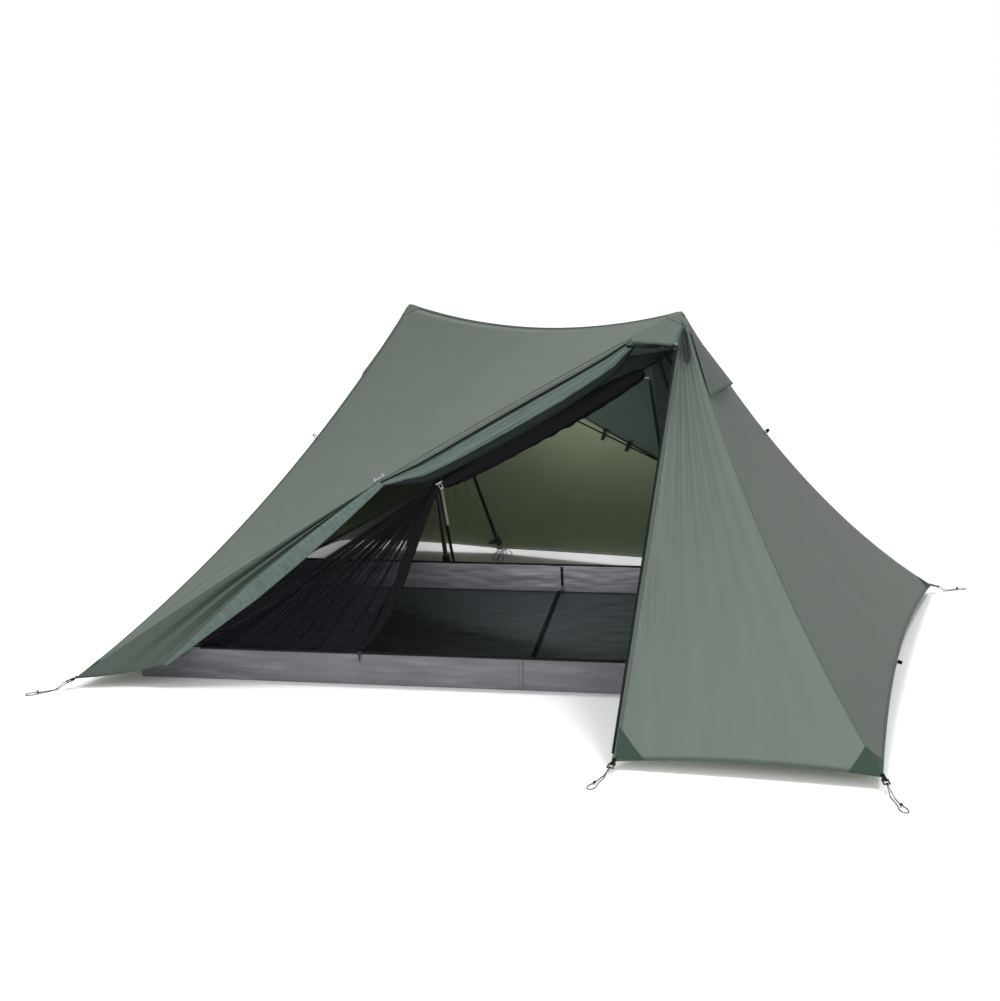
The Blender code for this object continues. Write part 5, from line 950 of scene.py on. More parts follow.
def strip_edge(share):
    """The strip's inner edge, where the flap is sewn on."""
    share = np.asarray(share, float)
    centre = pinch + (STRIP_FOOT - pinch) * share[..., None]
    return centre - strip_side(share) * (strip_width(share) / 2 - 0.003)[..., None]


def wound(count, folds, ripple):
    """A wound section along the roll: grooves that drift round it, and small ripples."""
    turn = around(count)[None, :]
    step = walked[:, None]
    reach = 0.5 * np.ones((len(walked), count))
    for place, drift, depth, wide in folds:
        gap = np.angle(np.exp(1j * (turn - place - drift * (step - 0.5))))
        reach = reach * (1 - depth * hump(gap, 0, wide))
    reach = reach * (1 + ripple * waves(turn * 0.12, step * 1.1, 0.08))
    return ringed(turn, reach)


roll_along = unit(OPEN_CREASE(ROLL_END) - OPEN_CREASE(ROLL_START))
roll_out = facing(np.cross(roll_along, hang), SIDE_OUT)
lobe = 0.84 + 0.16 * np.clip((0.05 - height) / 0.03, 0, 1)
lip = np.minimum(0.020, height * 0.24)
upper = crease_line + (lip + (height * lobe - lip) / 2)[:, None] * hang
under = crease_line + (height * 0.88)[:, None] * hang - roll_out * (width * 0.10)[:, None]
rolled = Sewing().roll(upper, hang, np.stack([height * lobe - lip, width], 1), wound(48, (
    (2.09, 0.0, 0.26, 0.20), (1.50, 1.3, 0.15, 0.10), (2.75, -0.8, 0.10, 0.14),
    (0.95, -1.0, 0.12, 0.09), (0.40, 0.9, 0.10, 0.10), (-2.0, 0.5, 0.12, 0.18),
    (-1.1, -0.8, 0.10, 0.14)), 0.030))
# The roll's underside lobe, near black: painted shade.
lower = Sewing().roll(under, hang, np.stack([height * 0.48, width * 0.74], 1), wound(40, (
    (1.9, 0.9, 0.14, 0.20), (-1.5, -0.9, 0.14, 0.16), (-2.4, 0.7, 0.12, 0.14)), 0.030)).make(
    "door_roll_under", DOOR_UNDER_SHADE, "door_fabric")
lip_line = crease_line + (lip * 0.56)[:, None] * hang
Sewing().roll(lip_line, hang, np.stack([lip * 1.12, width * 0.80], 1), wound(32, (
    (1.3, 0.5, 0.08, 0.14), (2.4, -0.6, 0.10, 0.14)), 0.02)).make(
    "door_roll_lip", FLY, "door_fabric")
edge_line = crease_line + lip[:, None] * hang + roll_out * (width * 0.34)[:, None]
Sewing().roll(edge_line[2:], hang, (0.0055, 0.0050), oval(10)).make(
    "door_zip_edge", ZIP, "black_plastic")

# The roll's thin start, and the twisted zip tape from it to the slider
slider_place = ZIP_FRONT(0.093)
first = slider_place + (upper[0] - slider_place) * 0.30 + hang * 0.004
start_route = np.array(smooth_route([first, upper[0] + roll_out * 0.004, upper[7]], 0.006))
step = np.linspace(0, 1, len(start_route))
start_sizes = np.stack([0.006 + 0.016 * step, 0.005 + 0.010 * step], 1)
rolled.roll(start_route, hang, start_sizes, oval(24, 0.3, 1.6))
tape_route = np.array(smooth_route([
    slider_place + roll_out * 0.001, slider_place + (upper[0] - slider_place) * 0.45 + hang * 0.006
    + roll_out * 0.008, upper[2] + roll_out * 0.014 - hang * 0.004], 0.004))
twist = (np.linspace(0, 1, len(tape_route)) * 5.5)[:, None]
Sewing().roll(tape_route, hang * np.cos(twist) + roll_out * np.sin(twist), (0.013, 0.003),
              STRAP).make("door_zip_tape", ZIP, "black_plastic")

share = np.linspace(0, 1, 440)
thick = 0.017 + 0.001 * bow(share)
thick = thick + (0.010 - thick) * share ** 3
turn = around(32)[None, :]
flat = np.sign(np.cos(turn)) * np.abs(np.cos(turn)) ** 0.8 * 0.5
rise = np.sign(np.sin(turn)) * np.abs(np.sin(turn)) ** 0.7 * 0.5
length_at = share[:, None] * 1.05
slant = length_at + flat * 0.022
bend = waves(length_at, flat * 0.05, 0.11)
ripple = 0.085 * np.sin(slant * FULL_TURN * 58 + 2.2 * bend) * (0.55 + 0.45 * waves(
    length_at, flat * 0.05, 0.07))
ripple = ripple + 0.040 * waves(length_at + flat * 0.03, flat * 0.04, 0.032)
fade = np.clip(share[:, None] / 0.05, 0, 1)
strip_section = np.stack([flat * (1 + 0.05 * ripple), rise * (1 + 2.2 * ripple * fade)], -1)
line = pinch + (STRIP_FOOT - pinch) * share[:, None]
sizes = np.stack([strip_width(share), thick], 1)
rolled = rolled.make("door_roll_front", DOOR, "door_fabric", replaces=("fly_door_front",))
strip = Sewing().roll(line, strip_side(share), sizes, strip_section).make(
    "door_strip_front", DOOR_STRIP, "door_fabric")


def flap_folds(across, down):
    """A valley beside the crease, then long folds that end at the corner."""
    valley = -0.016 * hump(across, 0.40, 0.10)
    ridge = 0.010 * hump(across, 0.62, 0.08)
    fold = -0.010 * hump(across, 0.76, 0.06)
    fine = 0.0022 * np.sin(FULL_TURN * 9 * across + 2 * down) * bow(across)
    return (valley + ridge + fold + fine) * bow(np.clip(down, 0, 1) ** 0.8) ** 0.8


cut("door_gusset_front", GUSSET, (10, 12), FLY, "door_fabric", ["peak_cap_right"],
    metric=False, thickness=CLOTH_THICKNESS, inside=FLY_INSIDE)
FLAP = Panel(part_of(OPEN_CREASE, ROLL_END, 1), strip_edge,
             curve(FRONT_LEFT, strip_edge(1.0), (0, 0.010, -0.010)),
             outward(OPEN_CREASE(ROLL_END), FRONT_LEFT, strip_edge(1.0)), flap_folds, 0.03, 0.997)
# The spread flap takes the darker door copy, which is painted shade.
cut("door_flap_front", FLAP, (90, 48), DOOR_SHADED, "door_fabric", ["door_roll_front"],
    metric=False, thickness=CLOTH_THICKNESS, inside=FLY_INSIDE)
Sewing().grid(FLAP.tape("far", 0.008, 0.0009, 0.0, 0.98), out=FLAP.out).make(
    "door_flap_hem", HEM, "door_fabric")


# Peak caps with their pole seats
def lathe(sewn, profile, start, axis, count=24):
    """A turned solid, from pairs of a radius and a distance along its axis."""
    axis = unit(axis)
    side = square_to(vec(0.3, 1, 0.2), axis)
    other = np.cross(axis, side)
    turn = around(count)
    ring = side * np.cos(turn)[:, None] + other * np.sin(turn)[:, None]
    points = [start + axis * along + ring * radius for radius, along in profile]
    return sewn.grid(np.array(points), wrap=True)


def reach_share(line, length):
    """The share of a line that is this long."""
    return length / float(np.linalg.norm(line(1.0) - line(0.0)))


POLE_AXIS = unit(vec(0.585, -0.560, 0.0028) - PEAK_RIGHT)
CAP_LINES = [backward(RIDGE), OPEN_CREASE, ZIP_FRONT, END_SEAM_RIGHT, MAIN_SEAM_RIGHT]
CAP_NORMALS = [MAIN_OUT, DOOR_OUT, SIDE_OUT, END_OUT, half_turn(MAIN_OUT)]
CAP_SIDES, SIDE_STEPS = len(CAP_LINES), 8


def peak_cap():
    """The cap's outer surface as rings from the peak out along the seams."""
    outs = [mitre(CAP_NORMALS[number - 1], CAP_NORMALS[number]) for number in range(CAP_SIDES)]
    rows = []
    top = PEAK_RIGHT + UP * (0.0007 + 0.0024 - 0.004)
    for walked in np.linspace(0.02, 1, 14):
        reach = CAP_REACH * walked
        ends = [line(reach_share(line, reach)) for line in CAP_LINES]
        lift = 0.0019 - 0.0012 * walked
        ring = []
        for number in range(CAP_SIDES):
            for part in np.arange(0, 1, 1 / SIDE_STEPS):
                after = (number + 1) % CAP_SIDES
                flat = ends[number] * (1 - part) + ends[after] * part
                out = outs[number] * (1 - part) + outs[after] * part
                rounded = top + (flat - PEAK_RIGHT) * 0.9 - UP * 0.2 * reach
                mix = min(1, reach / 0.014) ** 1.5
                ring.append(rounded * (1 - mix) + (flat + out * lift) * mix)
        rows.append(ring)
    return np.array(rows)


for side_name, turn_it in RIGHT_LEFT:
    cap = Sewing().grid(turn_it(peak_cap()), wrap=True)
    peak, axis = turn_it(PEAK_RIGHT), turn_it(POLE_AXIS)
    lathe(cap, [(0.0005, 0.0045), (0.0030, 0.0045), (0.0062, 0.0094), (0.0062, 0.024),
                (0.0035, 0.024), (0.0035, 0.0086), (0.0004, 0.0086)], peak, axis)
    cap.make("cap_" + side_name, FLY, "fly_fabric", thickness=CLOTH_THICKNESS,
             replaces=("peak_cap_" + side_name,))


# Vent hoods, hinged at their top edge
VENT_HINGE = vec(0.54523, -0.06303, 1.10173)
VENT_LENGTH = 0.21015
VENT_AXES = np.array([(-0.01485, -0.99968, 0.02042), (0.44205, -0.02488, -0.89665),
                      (0.89687, -0.00429, 0.44228)])
LIFT = math.radians(9.5)


def vent_width(share):
    """Half the hood's width at a share of its length, between the end panel's seams."""
    ends = [np.linalg.norm(MAIN_SEAM_RIGHT(at) - END_SEAM_RIGHT(at)) / 2 for at in (0.050, 0.190)]
    return ends[0] + (ends[1] - ends[0]) * share - 0.022


def vent_grid(side, start=0.0, lift=0.0, rows=20, columns=20):
    """Half a hood: its side lies on the panel, and its middle is held up by the strut."""
    down = np.linspace(start, 1, rows + 1)[:, None]
    across = np.linspace(0, side, columns + 1)[None, :]
    x, y = across * vent_width(down), down * VENT_LENGTH + 0 * across
    z = 0.010 * down * (1 - across ** 2) + 0.0014 + lift
    tilt = LIFT * (1 - np.abs(across) ** 1.8)
    flat = np.stack([x + 0 * y, y * np.cos(tilt) - z * np.sin(tilt),
                     y * np.sin(tilt) + z * np.cos(tilt)], -1)
    return VENT_HINGE + flat @ VENT_AXES


for side_name, turn_it in RIGHT_LEFT:
    out = turn_it(VENT_AXES[2])
    for word, side in (("front", 1), ("rear", -1)):
        hood_grid = turn_it(vent_grid(side))
        start, end = hood_grid[-1, -1], hood_grid[-1, 0]
        stands = ("vent_hood_" + side_name,) if side > 0 else ()
        hood = Sewing().grid(hood_grid, out=out).make(
            f"hood_{word}_{side_name}", FLY_END_SHADED, "fly_fabric", None, 0.0010, FLY_INSIDE, stands)
        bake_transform(hood)
        declare(hood, hood_grid)
        rim = Sewing().grid(turn_it(vent_grid(side, 0.965, 0.0007, 2)), out=out).make(
            f"hood_edge_{word}_{side_name}", HEM, "fly_fabric", None, 0.0018)
        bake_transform(rim)


# Corner patches and the webbing that carries the locks
def side_patch(panel, *places):
    """A patch between three places of a panel, each its share across and down."""
    place = triangle(*(np.array(corner) for corner in places), 17)
    across, down = place[..., 0], place[..., 1]
    return panel(across, down) + panel.normal(across, down) * 0.0015


hem_side, hem_end = reach_share(SIDE_HEM, 0.090), reach_share(END_HEM, 0.090)
seam_end, seam_zip = reach_share(END_SEAM_RIGHT, 0.100), reach_share(ZIP_FRONT, 0.100)
seam_main = reach_share(MAIN_SEAM_RIGHT, 0.100)
crease = reach_share(CLOSED_CREASE, 0.090)
PATCHES = {
    "front_right": [(SIDE, (1, 0.999), (1, 1 - seam_end), (1 - hem_side, 0.999)),
                    (END, (0, 0.999), (0, 1 - seam_end), (hem_end, 0.999))],
    "rear_right": [(END, (1, 0.999), (1, 1 - seam_main), (1 - hem_end, 0.999)),
                   (MAIN_REAR, (0.02, 0.021), (0.01, seam_main), (0.99, crease))],
    "base_front": [(SIDE, (0.012, 0.995), (0.012, 1 - seam_zip), (hem_side, 0.999))],
}
PATCHES["front_left"] = [(END.turned(), *PATCHES["rear_right"][0][1:]),
                         (MAIN, *PATCHES["rear_right"][1][1:])]


def strap_pieces(sewn, stake, turn_it):
    """A sewn tongue and the band that goes round the lock's bar."""
    start, out, side, top = stake_frame(stake)
    rise = unit(STAKES[stake][2] - STAKES[stake][0])
    tongue_top = square_to(STAKES[stake][3], rise)
    path = [start + rise * up + tongue_top * 0.0004 for up in (0.010, 0.004)]
    path.append(start - out * 0.001 + top * 0.0008)
    high, far = 0.0026, BAND_REACH + 0.001
    steps = ((0.004, high), (far - 0.002, high), (far - 0.0004, high * 0.4),
             (far - 0.0004, -high * 0.4), (far - 0.002, -high), (0.004, -high), (0.0015, -0.0008))
    path += [start + out * away + top * up for away, up in steps]
    points = np.array(smooth_route(path, 0.0012))
    sewn.roll(turn_it(points), turn_it(side), (0.012, 0.0011), STRAP)


STRAP_PLACES = [
    ("front_right", "front_right", same), ("rear_left", "front_right", half_turn),
    ("rear_right", "rear_right", same), ("front_left", "front_left", same),
    ("base_front", "base_front", same), ("base_rear", "base_front", half_turn),
]
for name, stake, turn_it in STRAP_PLACES:
    patch = Sewing()
    for panel, *places in PATCHES[stake]:
        patch.grid(turn_it(side_patch(panel, *places)), out=turn_it(panel.out))
    patch.make("patch_" + name, TRIM, "reinforcement", thickness=0.0008,
               replaces=("reinforcement_" + name,))
    strap = Sewing()
    strap_pieces(strap, stake, turn_it)
    strap.make("strap_" + name, WEBBING, "reinforcement")


# Inner tent
def gather(across, down):
    """Pleats of the open mesh door, fanning from its toggle."""
    depth = 0.010 * bow(across) * bow(0.5 * down)
    fine = 0.5 + 0.5 * np.sin(FULL_TURN * 6 * across ** 1.4)
    more = 0.25 * np.sin(FULL_TURN * 15 * across ** 1.3 + 1)
    return -depth * (fine + more)


INNER_ROOF = Panel(backward(turned(INNER_SIDE)), backward(INNER_CREASE), INNER_RIDGE,
                   INNER_ROOF_OUT, tension(0.0020, 0.4), 0.02)
INNER_FIXED = Panel(INNER_ZIP, INNER_END, curve(INNER_BASE, INNER_FR), INNER_SIDE_OUT,
                    tension(0.0028, 1.4, 5, False), 0.02)
INNER_TAIL = Panel(INNER_END, INNER_SIDE, curve(INNER_FR, INNER_RR), INNER_END_OUT,
                   tension(0.0020, 2.2), 0.02)
INNER_DOOR = Panel(turned(INNER_CREASE), turned(INNER_ZIP),
                   curve(INNER_RR, half_turn(INNER_BASE)), half_turn(INNER_SIDE_OUT),
                   tension(0.0020, 0.9), 0.02, 0.997)
MESH_ROLL_START, MESH_ROLL_END = 0.070, 0.445
TOGGLE_POINT, SLIDER_POINT = INNER_CREASE(MESH_ROLL_END), inner_front(-0.399, MESH_FOOT)
GATHERED = Panel(part_of(INNER_CREASE, MESH_ROLL_END, 1), curve(TOGGLE_POINT, SLIDER_POINT),
                 curve(INNER_FL, SLIDER_POINT), INNER_SIDE_OUT, gather, 0.03, 0.997)
INNER_PANELS = [("inner_roof_front", INNER_ROOF, MESH),
                ("inner_roof_rear", INNER_ROOF.turned(), MESH_SOFT),
                ("inner_door_rear", INNER_DOOR, MESH_DOOR)]
for name, panel, finish in INNER_PANELS:
    cut(name.replace("inner", "mesh", 1), panel, (36, 36), finish, "inner_mesh",
        ["inner_hanger_right", "inner_hanger_left"], replaces=(name,))
for side_name, swing in (("right", same), ("left", Panel.turned)):
    for word, panel, stands in (("side", INNER_FIXED, ()), ("end", INNER_TAIL, ("inner_end_",))):
        cut(f"mesh_{word}_{side_name}", swing(panel), (36, 36), MESH, "inner_mesh",
            ["inner_hanger_" + side_name], replaces=[one + side_name for one in stands])
cut("mesh_door_gathered", GATHERED, (70, 110), MESH_DENSE, "inner_mesh",
    ["inner_door_toggle", "inner_bathtub_walls"], "gathered", metric=False)

# Its pleats, where the mesh lies folded over itself
pleats = Sewing()
for number in range(24):
    place = 0.24 + 0.74 * (number + 0.5) / 24 + noise_source.uniform(-0.014, 0.014)
    end = noise_source.uniform(0.45, 1.0) if number % 3 else 0.985
    step = np.linspace(0.035, end, 60)
    sway = 0.012 * np.sin(step * noise_source.uniform(5, 11) + number) * step
    across = np.clip(place + sway, 0.02, 0.985)
    lines = GATHERED(across, step) + INNER_SIDE_OUT * 0.0012
    sizes = (0.0020 + noise_source.uniform(0.003, 0.009) * bow(
        np.linspace(0, 1, 60) ** 0.8))[:, None] * vec(1, 0.16)
    pleats.roll(lines, GATHERED(across + 0.01, step) - GATHERED(across, step), sizes, STRAP)
pleats.make("mesh_door_pleats", MESH_ROLL, "inner_mesh")

walked = np.linspace(0, 1, 61)
bulge = bow(walked) ** 0.35
height, width = 0.014 + 0.056 * bulge, 0.014 + 0.018 * bulge
along = unit(TOGGLE_POINT - INNER_CREASE(MESH_ROLL_START))
inner_hang = square_to(ROLL_DOWN, along)
centres = INNER_CREASE(MESH_ROLL_START + (MESH_ROLL_END - MESH_ROLL_START) * walked)
centres = centres + inner_hang * (height / 2 + 0.0015 - 0.0265 * bulge)[:, None]
centres = np.concatenate([centres, centres[-1] + along * vec(0.012, 0.024, 0.035)[:, None]])
sizes = np.stack([np.append(height, [0.0145, 0.015, 0.013]),
                  np.append(width, [0.0145, 0.015, 0.013])], 1)
turn = around(40)[None, :]
step = np.linspace(0, 1, len(centres))[:, None]
folds = 0.5 * (1 + 0.05 * np.sin(7 * turn + 9 * step)
               + 0.045 * waves(turn * 0.03, step * 0.8, 0.05))
inner_roll = Sewing().roll(centres, inner_hang, sizes, ringed(turn, folds)).make(
    "mesh_door_roll", MESH_ROLL, "inner_mesh", replaces=("inner_door_front",))

# The folded edge band of the mesh door, from its toggle down to the zip slider
share = np.linspace(0.03, 0.985, 60)
edge = TOGGLE_POINT + (SLIDER_POINT - TOGGLE_POINT) * share[:, None]
edge = edge + ALONG_INNER * (0.030 * np.sin(math.pi * share ** 2.2))[:, None]
edge = edge + INNER_SIDE_OUT * 0.004
edge_wide = 0.010 + 0.026 * bow(share) ** 0.6
Sewing().roll(edge, ALONG_INNER, np.stack([edge_wide, edge_wide * 0 + 0.004], 1),
              oval(16)).make("mesh_door_band", MESH_ROLL, "inner_mesh")


def binding(sewn, line, out, start=0.02, end=0.98, width=0.008, thick=0.0016, lift=0.0012):
    """A dark tape bound over a seam of the inner tent."""
    points = line(np.linspace(start, end, 61)) + unit(out) * lift
    strap_along(sewn, points, out, width, thick)


bound = Sewing()
ROOF_END = mitre(INNER_END_OUT, half_turn(INNER_ROOF_OUT))
SIDE_ROOF = mitre(INNER_ROOF_OUT, INNER_SIDE_OUT)
SIDE_END = mitre(INNER_END_OUT, INNER_SIDE_OUT)
binding(bound, INNER_RIDGE, UP, 0.03, 0.97)
for line, out in ((INNER_SIDE, ROOF_END), (INNER_CREASE, SIDE_ROOF), (INNER_END, SIDE_END)):
    binding(bound, line, out, 0.04)
    binding(bound, turned(line), half_turn(out), 0.04)
for line, out in ((INNER_ZIP, INNER_SIDE_OUT), (turned(INNER_ZIP), half_turn(INNER_SIDE_OUT))):
    binding(bound, line, out, 0.05, 0.985, 0.012, 0.0014, -0.0014)
bound.make("inner_bindings", BINDING, "inner_mesh")


# Bathtub walls and floor
corners = [inner_front(-INNER_HALF_LENGTH, 0), inner_front(INNER_HALF_LENGTH, 0)]
corners += [half_turn(corner) for corner in corners]
tub, rim = Sewing(), Sewing()
for number in range(4):
    one, two = corners[number], corners[(number + 1) % 4]
    along, length = unit(two - one), np.linalg.norm(two - one)
    out = np.cross(along, UP)
    columns = int(length / 0.008)
    u = np.linspace(0, 1, columns + 1)[None, :]
    v = np.linspace(0, 1, 29)[:, None]
    from_left, from_right = u * length, (1 - u) * length
    pull = np.exp(-from_left / 0.28) * np.sin(
        np.arctan2(v * BATHTUB_HEIGHT + 0.004, from_left + 0.02) * 26)
    pull = pull + np.exp(-from_right / 0.2) * np.sin(
        np.arctan2(v * BATHTUB_HEIGHT + 0.004, from_right + 0.02) * 22)
    soft = waves(from_left * 0.25 + 0 * v, v * BATHTUB_HEIGHT, 0.06)
    inset = np.clip(from_left / 0.03, 0, 1) * np.clip(from_right / 0.03, 0, 1)
    streaks = waves(from_left * 0.30 + 0 * v, v * BATHTUB_HEIGHT, 0.022)
    dent = 0.0052 + 0.0014 * soft + 0.0062 * pull + 0.0010 * streaks
    dent = dent * np.sin(math.pi * v) ** 0.6 * inset
    base = one + along * from_left[..., None] + UP * (0.0006 + v[..., None] * 0.109)
    grid = base - out * np.clip(dent, 0.0002, 0.012)[..., None]
    uv = np.stack([from_left + 0 * v, v * BATHTUB_HEIGHT + 0 * u], -1)
    tub.grid(grid, uv, out)
    share = np.linspace(0, 1, 80)[:, None]
    top = one + (two - one) * share + UP * BATHTUB_HEIGHT - out * 0.0007
    rim.roll(top, UP, (0.0045 if number == 0 else 0.010, 0.0022), STRAP)
walls = tub.make("tub_walls", WALLS, "bathtub_fabric", thickness=0.0008,
                 replaces=("inner_bathtub_walls",))
rim.make("tub_binding", BINDING, "bathtub_fabric")

u = np.linspace(-1, 1, 171)[None, :]
v = np.linspace(-1, 1, 91)[:, None]
front_edge = corners[0] + (corners[1] - corners[0]) * ((u + 1) / 2)[..., None]
rear_edge = corners[3] + (corners[2] - corners[3]) * ((u + 1) / 2)[..., None]
plan = front_edge + (rear_edge - front_edge) * ((v + 1) / 2)[..., None]
plan = plan * vec(0.9975, 0.9965, 1)
x, y = u * INNER_HALF_LENGTH + 0 * v, v * 0.57 + 0 * u
ripples = 0.5 + 0.25 * waves(x * 0.45, y, 0.085) + 0.20 * waves(x * 0.3, y, 0.035)
fade = np.clip((1 - np.abs(u)) * 12, 0, 1) * np.clip((1 - np.abs(v)) * 7, 0, 1)
plan[..., 2] = 0.0006 + 0.0048 * np.clip(ripples, 0, 1) * fade
floor_sheet = Sewing().grid(plan, np.stack([x, y], -1), UP).make(
    "floor_sheet", FLOOR, "floor_fabric", thickness=0.0005, replaces=("inner_floor",))
declare(floor_sheet, plan)
share = np.linspace(-0.985, 0.985, 70)[:, None]
seam_line = -INNER_FRONT * share * INNER_HALF_WIDTH + UP * 0.0062
Sewing().roll(seam_line, ALONG_INNER, (0.016, 0.0014), STRAP).make(
    "floor_seam", BINDING, "floor_fabric")
wall_seam = inner_front(0.115, 0) + INNER_FRONT * 0.0004
Sewing().roll(wall_seam + UP * np.linspace(0.003, 0.106, 20)[:, None], ALONG_INNER,
              (0.008, 0.0012), STRAP).make("tub_seam", WALLS, "bathtub_fabric")


# Inner hangers: a small cap, a clip on the pole seat and the strap between them
for side_name, turn_it in RIGHT_LEFT:
    hanger = Sewing()
    spokes = [backward(INNER_RIDGE), INNER_CREASE, INNER_ZIP, INNER_END, INNER_SIDE]
    rows = []
    for reach in np.linspace(0.0008, 0.030, 8):
        ends = [INNER_PEAK + unit(line(0.15) - INNER_PEAK) * reach for line in spokes]
        ring = [ends[i] * (1 - p) + ends[(i + 1) % 5] * p for i in range(5)
                for p in np.arange(0, 1, 0.2)]
        rows.append(np.array(ring) + UP * 0.0019)
    hanger.grid(turn_it(np.array(rows)), wrap=True)
    inner, outer, low, high = 0.0068, 0.0084, 0.0135, 0.0190
    away = square_to(vec(0, 1, 0), POLE_AXIS)
    side = np.cross(POLE_AXIS, away)
    turn = np.linspace(-2.1, 2.1, 30)[:, None]
    ring = PEAK_RIGHT + POLE_AXIS * (low + high) / 2
    ring = ring + (away * np.cos(turn) + side * np.sin(turn)) * (inner + outer) / 2
    hanger.roll(turn_it(ring), turn_it(POLE_AXIS), (high - low, outer - inner), STRAP)
    top = PEAK_RIGHT + POLE_AXIS * (low + high) / 2 + away * (inner + outer) / 2
    foot = INNER_PEAK + UP * 0.0019
    line = top + (foot - top) * np.linspace(0, 1, 24)[:, None]
    hanger.roll(turn_it(line), vec(1, 0, 0), (0.0062, 0.0012), STRAP)
    hanger.make("hanger_" + side_name, WEBBING, "cord", replaces=("inner_hanger_" + side_name,))


# Zips
def zip_run(sewn, coil, start, end, wide, out, width, thick):
    """A straight tape with its coil on it."""
    share = np.linspace(0, 1, 120)[:, None]
    line = start + (end - start) * share
    sewn.roll(line - out * thick * 0.25, wide, (width, thick * 0.45), STRAP)
    coil.roll(line + out * thick * 0.12, wide, (width * 0.42, thick * 0.7), oval(12))


zip_along = unit(PEAK_RIGHT - BASE_FRONT)
zip_out = square_to(mitre(SIDE_OUT, DOOR_OUT), zip_along)
zip_top = ZIP_FRONT(0.090) + zip_out * 0.0015
zip_bottom = ZIP_FRONT(0.985) + zip_out * 0.0015
inner_lift = MESH_FOOT - 0.0044
base_start = inner_front(-INNER_HALF_LENGTH * 0.82, inner_lift) + INNER_FRONT * 0.0013
base_end = inner_front(INNER_DOOR_END, inner_lift) + INNER_FRONT * 0.0013
inner_rise = unit(INNER_PEAK - INNER_BASE)
inner_foot = INNER_BASE + INNER_SIDE_OUT * 0.0013 - inner_rise * 0.0048
inner_top = inner_foot + inner_rise * (np.linalg.norm(INNER_PEAK - INNER_BASE) - 0.034)
for side_name, t in FRONT_REAR:
    tape, coil = Sewing(), Sewing()
    zip_run(tape, coil, t(zip_top), t(zip_bottom), t(np.cross(zip_out, zip_along)), t(zip_out),
            0.008, 0.0022)
    tape.make("zip_tape_" + side_name, ZIP, "black_plastic",
              replaces=("fly_zip_tape_" + side_name,))
    coil.make("zip_coil_" + side_name, COIL, "black_plastic")
    tape, coil = Sewing(), Sewing()
    zip_run(tape, coil, t(base_start), t(base_end), UP, t(INNER_FRONT), 0.008, 0.0018)
    zip_run(tape, coil, t(inner_foot), t(inner_top), t(np.cross(INNER_SIDE_OUT, inner_rise)),
            t(INNER_SIDE_OUT), 0.008, 0.0018)
    tape.make("mesh_zip_tape_" + side_name, ZIP, "black_plastic",
              replaces=("inner_zip_" + side_name,))
    coil.make("mesh_zip_coil_" + side_name, COIL, "black_plastic")


# Small sewn parts, each placed on its panel from where the camera sees it
def seen(column, row, point, out, lift=0.0):
    """The place on a plane that the camera shows at this column and row."""
    ray = forward * FOCAL + right * (column - IMAGE_WIDTH / 2) - above * (row - IMAGE_HEIGHT / 2)
    return EYE + ray * (((point - EYE) @ out) / (ray @ out)) + out * lift


side_plane = (INNER_PEAK, INNER_SIDE_OUT)
lines = Sewing()
for one, two, width in (((658, 357), (669, 391), 0.010), ((650, 381), (660, 449), 0.010),
                        ((664, 352), (672, 365), 0.010)):
    strap_between(lines, seen(*one, *side_plane, 0.004), seen(*two, *side_plane, 0.004),
                  INNER_SIDE_OUT, width, 0.0014)
lines.make("inner_seam_tapes", BINDING, "inner_mesh")
fold_left = curve(seen(651, 358, *side_plane, 0.002), seen(660, 452, *side_plane, 0.002))
fold_right = curve(seen(672, 352, *side_plane, 0.002), seen(664, 455, *side_plane, 0.002))
SIDE_FOLD = Panel(fold_left, fold_right, curve(fold_left(1), fold_right(1)), INNER_SIDE_OUT,
                  lambda across, down: -0.004 * (0.5 + 0.5 * np.sin(24 * across + 3 * down)), 0.0)
cut("mesh_side_fold", SIDE_FOLD, (40, 40), MESH_DENSE, "inner_mesh", ["inner_hanger_right"],
    "gathered", metric=False)

bits = Sewing()
place = seen(647, 378.5, *side_plane, 0.008)
bits.roll([place - unit(ALONG_INNER) * 0.007, place, place + unit(ALONG_INNER) * 0.007], UP,
          (0.0045, 0.0040), oval(12))
bits.make("inner_door_toggle_upper", TOGGLE, "toggle")

# Tabs between the two rear creases
tabs = Sewing()
rear_out = half_turn(MAIN_OUT)
crease_middle = CLOSED_CREASE(0.5) - rear_out * 0.010
for column, row in ((603.6, 435), (627.6, 446.3)):
    high, low = (seen(column + dx, row + dy, crease_middle, rear_out)
                 for dx, dy in ((1.5, -5), (-1.5, 5)))
    strap_between(tabs, high, low, rear_out, 0.012, 0.002)

# A strap with a ring on the rear wall
RING_RADIUS = 0.007
wall = half_turn(inner_front(0, 0)) - half_turn(INNER_FRONT) * 0.008
strap_between(tabs, seen(561.6, 567, wall, INNER_FRONT), seen(562.4, 586, wall, INNER_FRONT),
              INNER_FRONT, 0.010, 0.0016)
turn = np.linspace(0, FULL_TURN, 25)[:-1, None]
ring = seen(562.6, 589, wall, INNER_FRONT) + ALONG_INNER * np.cos(turn) * RING_RADIUS
ring = ring + UP * np.sin(turn) * RING_RADIUS
tabs.roll(np.concatenate([ring, ring[:1]]), INNER_FRONT, (0.0026, 0.0026), oval(10))

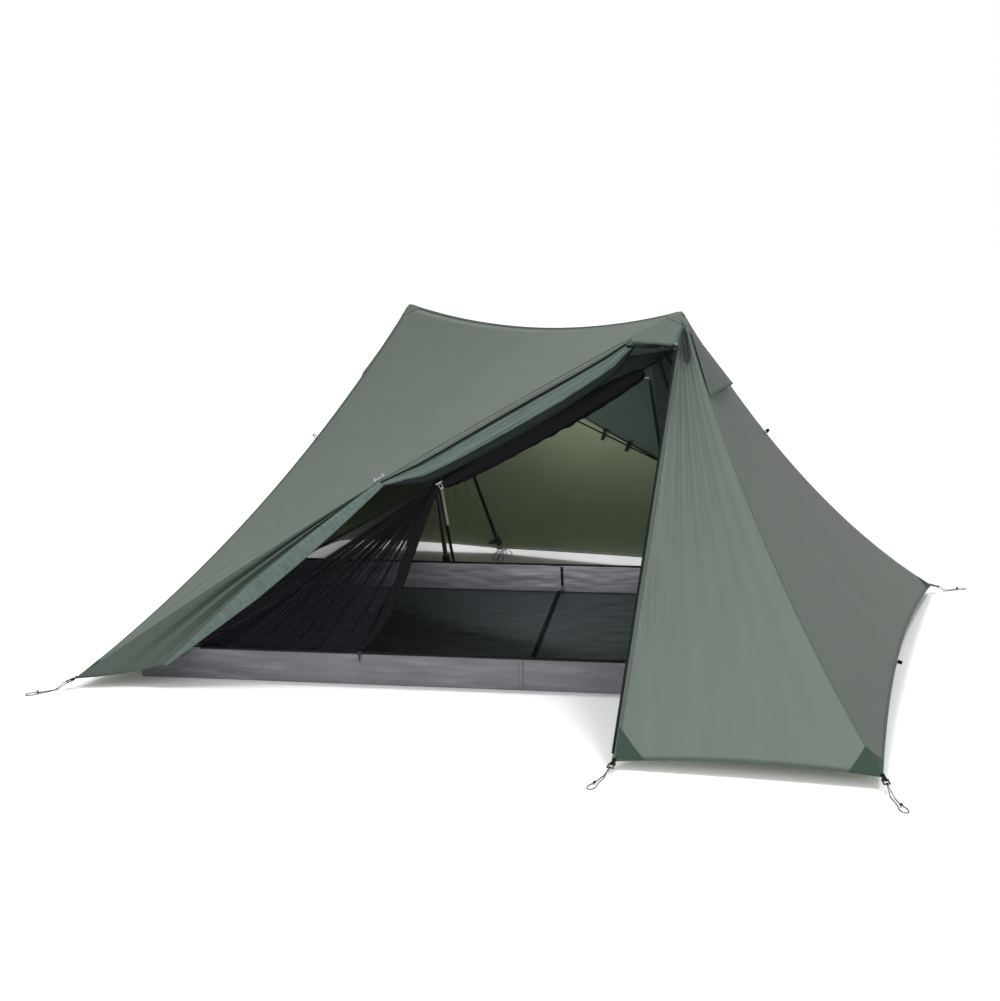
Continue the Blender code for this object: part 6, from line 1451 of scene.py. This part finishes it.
# Guy-out tabs on the main seams and a tab on each end hem
for _, turn_it in RIGHT_LEFT:
    for line, share_at, out in ((MAIN_SEAM_RIGHT, 0.33, MAIN_MITRE), (END_HEM, 0.42, END_OUT)):
        away = unit(out if line is MAIN_SEAM_RIGHT else out - UP * 0.8)
        along = unit(line(share_at + 0.01) - line(share_at - 0.01))
        base = line(share_at) + unit(out) * 0.0016
        loop = [base - along * 0.004, base + away * 0.010 - along * 0.003,
                base + away * 0.014, base + away * 0.010 + along * 0.003, base + along * 0.004]
        tabs.roll(turn_it(np.array(smooth_route(loop, 0.002))), turn_it(np.cross(along, away)),
                  (0.010, 0.0012), STRAP)
tabs.make("webbing_tabs", WEBBING, "reinforcement")

pale = Sewing()
toggle_plane = (TOGGLE_POINT, INNER_SIDE_OUT)
strap_between(pale, seen(441, 486, *toggle_plane, -0.004), seen(448, 525, *toggle_plane, -0.004),
              INNER_SIDE_OUT, 0.009, 0.0012)
pale.make("door_strap_pale", STRAP_PALE, "reinforcement")

# The rear door's foot: a patch inside it, and its cord in loops on the ground
BASE_REAR = half_turn(BASE_FRONT)
door_plane = (BASE_REAR, half_turn(SIDE_OUT))
first, second, third = (seen(*place, *door_plane, -0.004)
                        for place in ((487, 543), (500, 535), (514, 544)))
Sewing().grid(triangle(second, first, third, 9), out=-half_turn(SIDE_OUT)).make(
    "patch_inside_base_rear", TRIM, "reinforcement", thickness=CLOTH_THICKNESS)
ground = (vec(0, 0, 0.004), UP)
loops = [seen(*place, *ground) for place in (
    (500, 547), (496, 553), (493, 557), (496, 560), (500, 554), (502, 549), (504, 556), (501, 563),
    (499, 566), (498, 560), (503, 551), (508, 550), (512, 553), (509, 556), (505, 550))]
route = np.array(smooth_route([BASE_REAR - vec(0.0, 0.014, 0.004)] + loops, 0.006))
loose = tube("cord_loops_rear", route, 0.0022, CORD)

bead = Sewing()
lathe(bead, [(0.0002, 0.0010), (0.0028, 0.0012), (0.0042, 0.0040), (0.0040, 0.0070),
             (0.0024, 0.0094), (0.0002, 0.0098)], ZIP_FRONT(0.0895) + zip_out * 0.004, zip_out, 20)
bead.make("fly_slider_bead", TOGGLE, "toggle", "fly_slider_front")

# Hard parts keep their shapes, with rounded edges
HARD = {"cord_lock": PLASTIC, "slider": PLASTIC, "strut": PLASTIC, "grip": PLASTIC,
        "lever": PLASTIC, "shaft": METAL, "tube": METAL, "toggle": TOGGLE}
for name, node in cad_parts.items():
    finish = next((made for key, made in HARD.items() if key in name), None)
    if finish is None or node.hide_render:
        continue
    node.data.materials.clear()
    node.data.materials.append(finish)
    round_off = node.modifiers.new("edges", "BEVEL")
    round_off.width, round_off.segments, round_off.limit_method = 0.0004, 2, "ANGLE"
    round_off.angle_limit = math.radians(35)
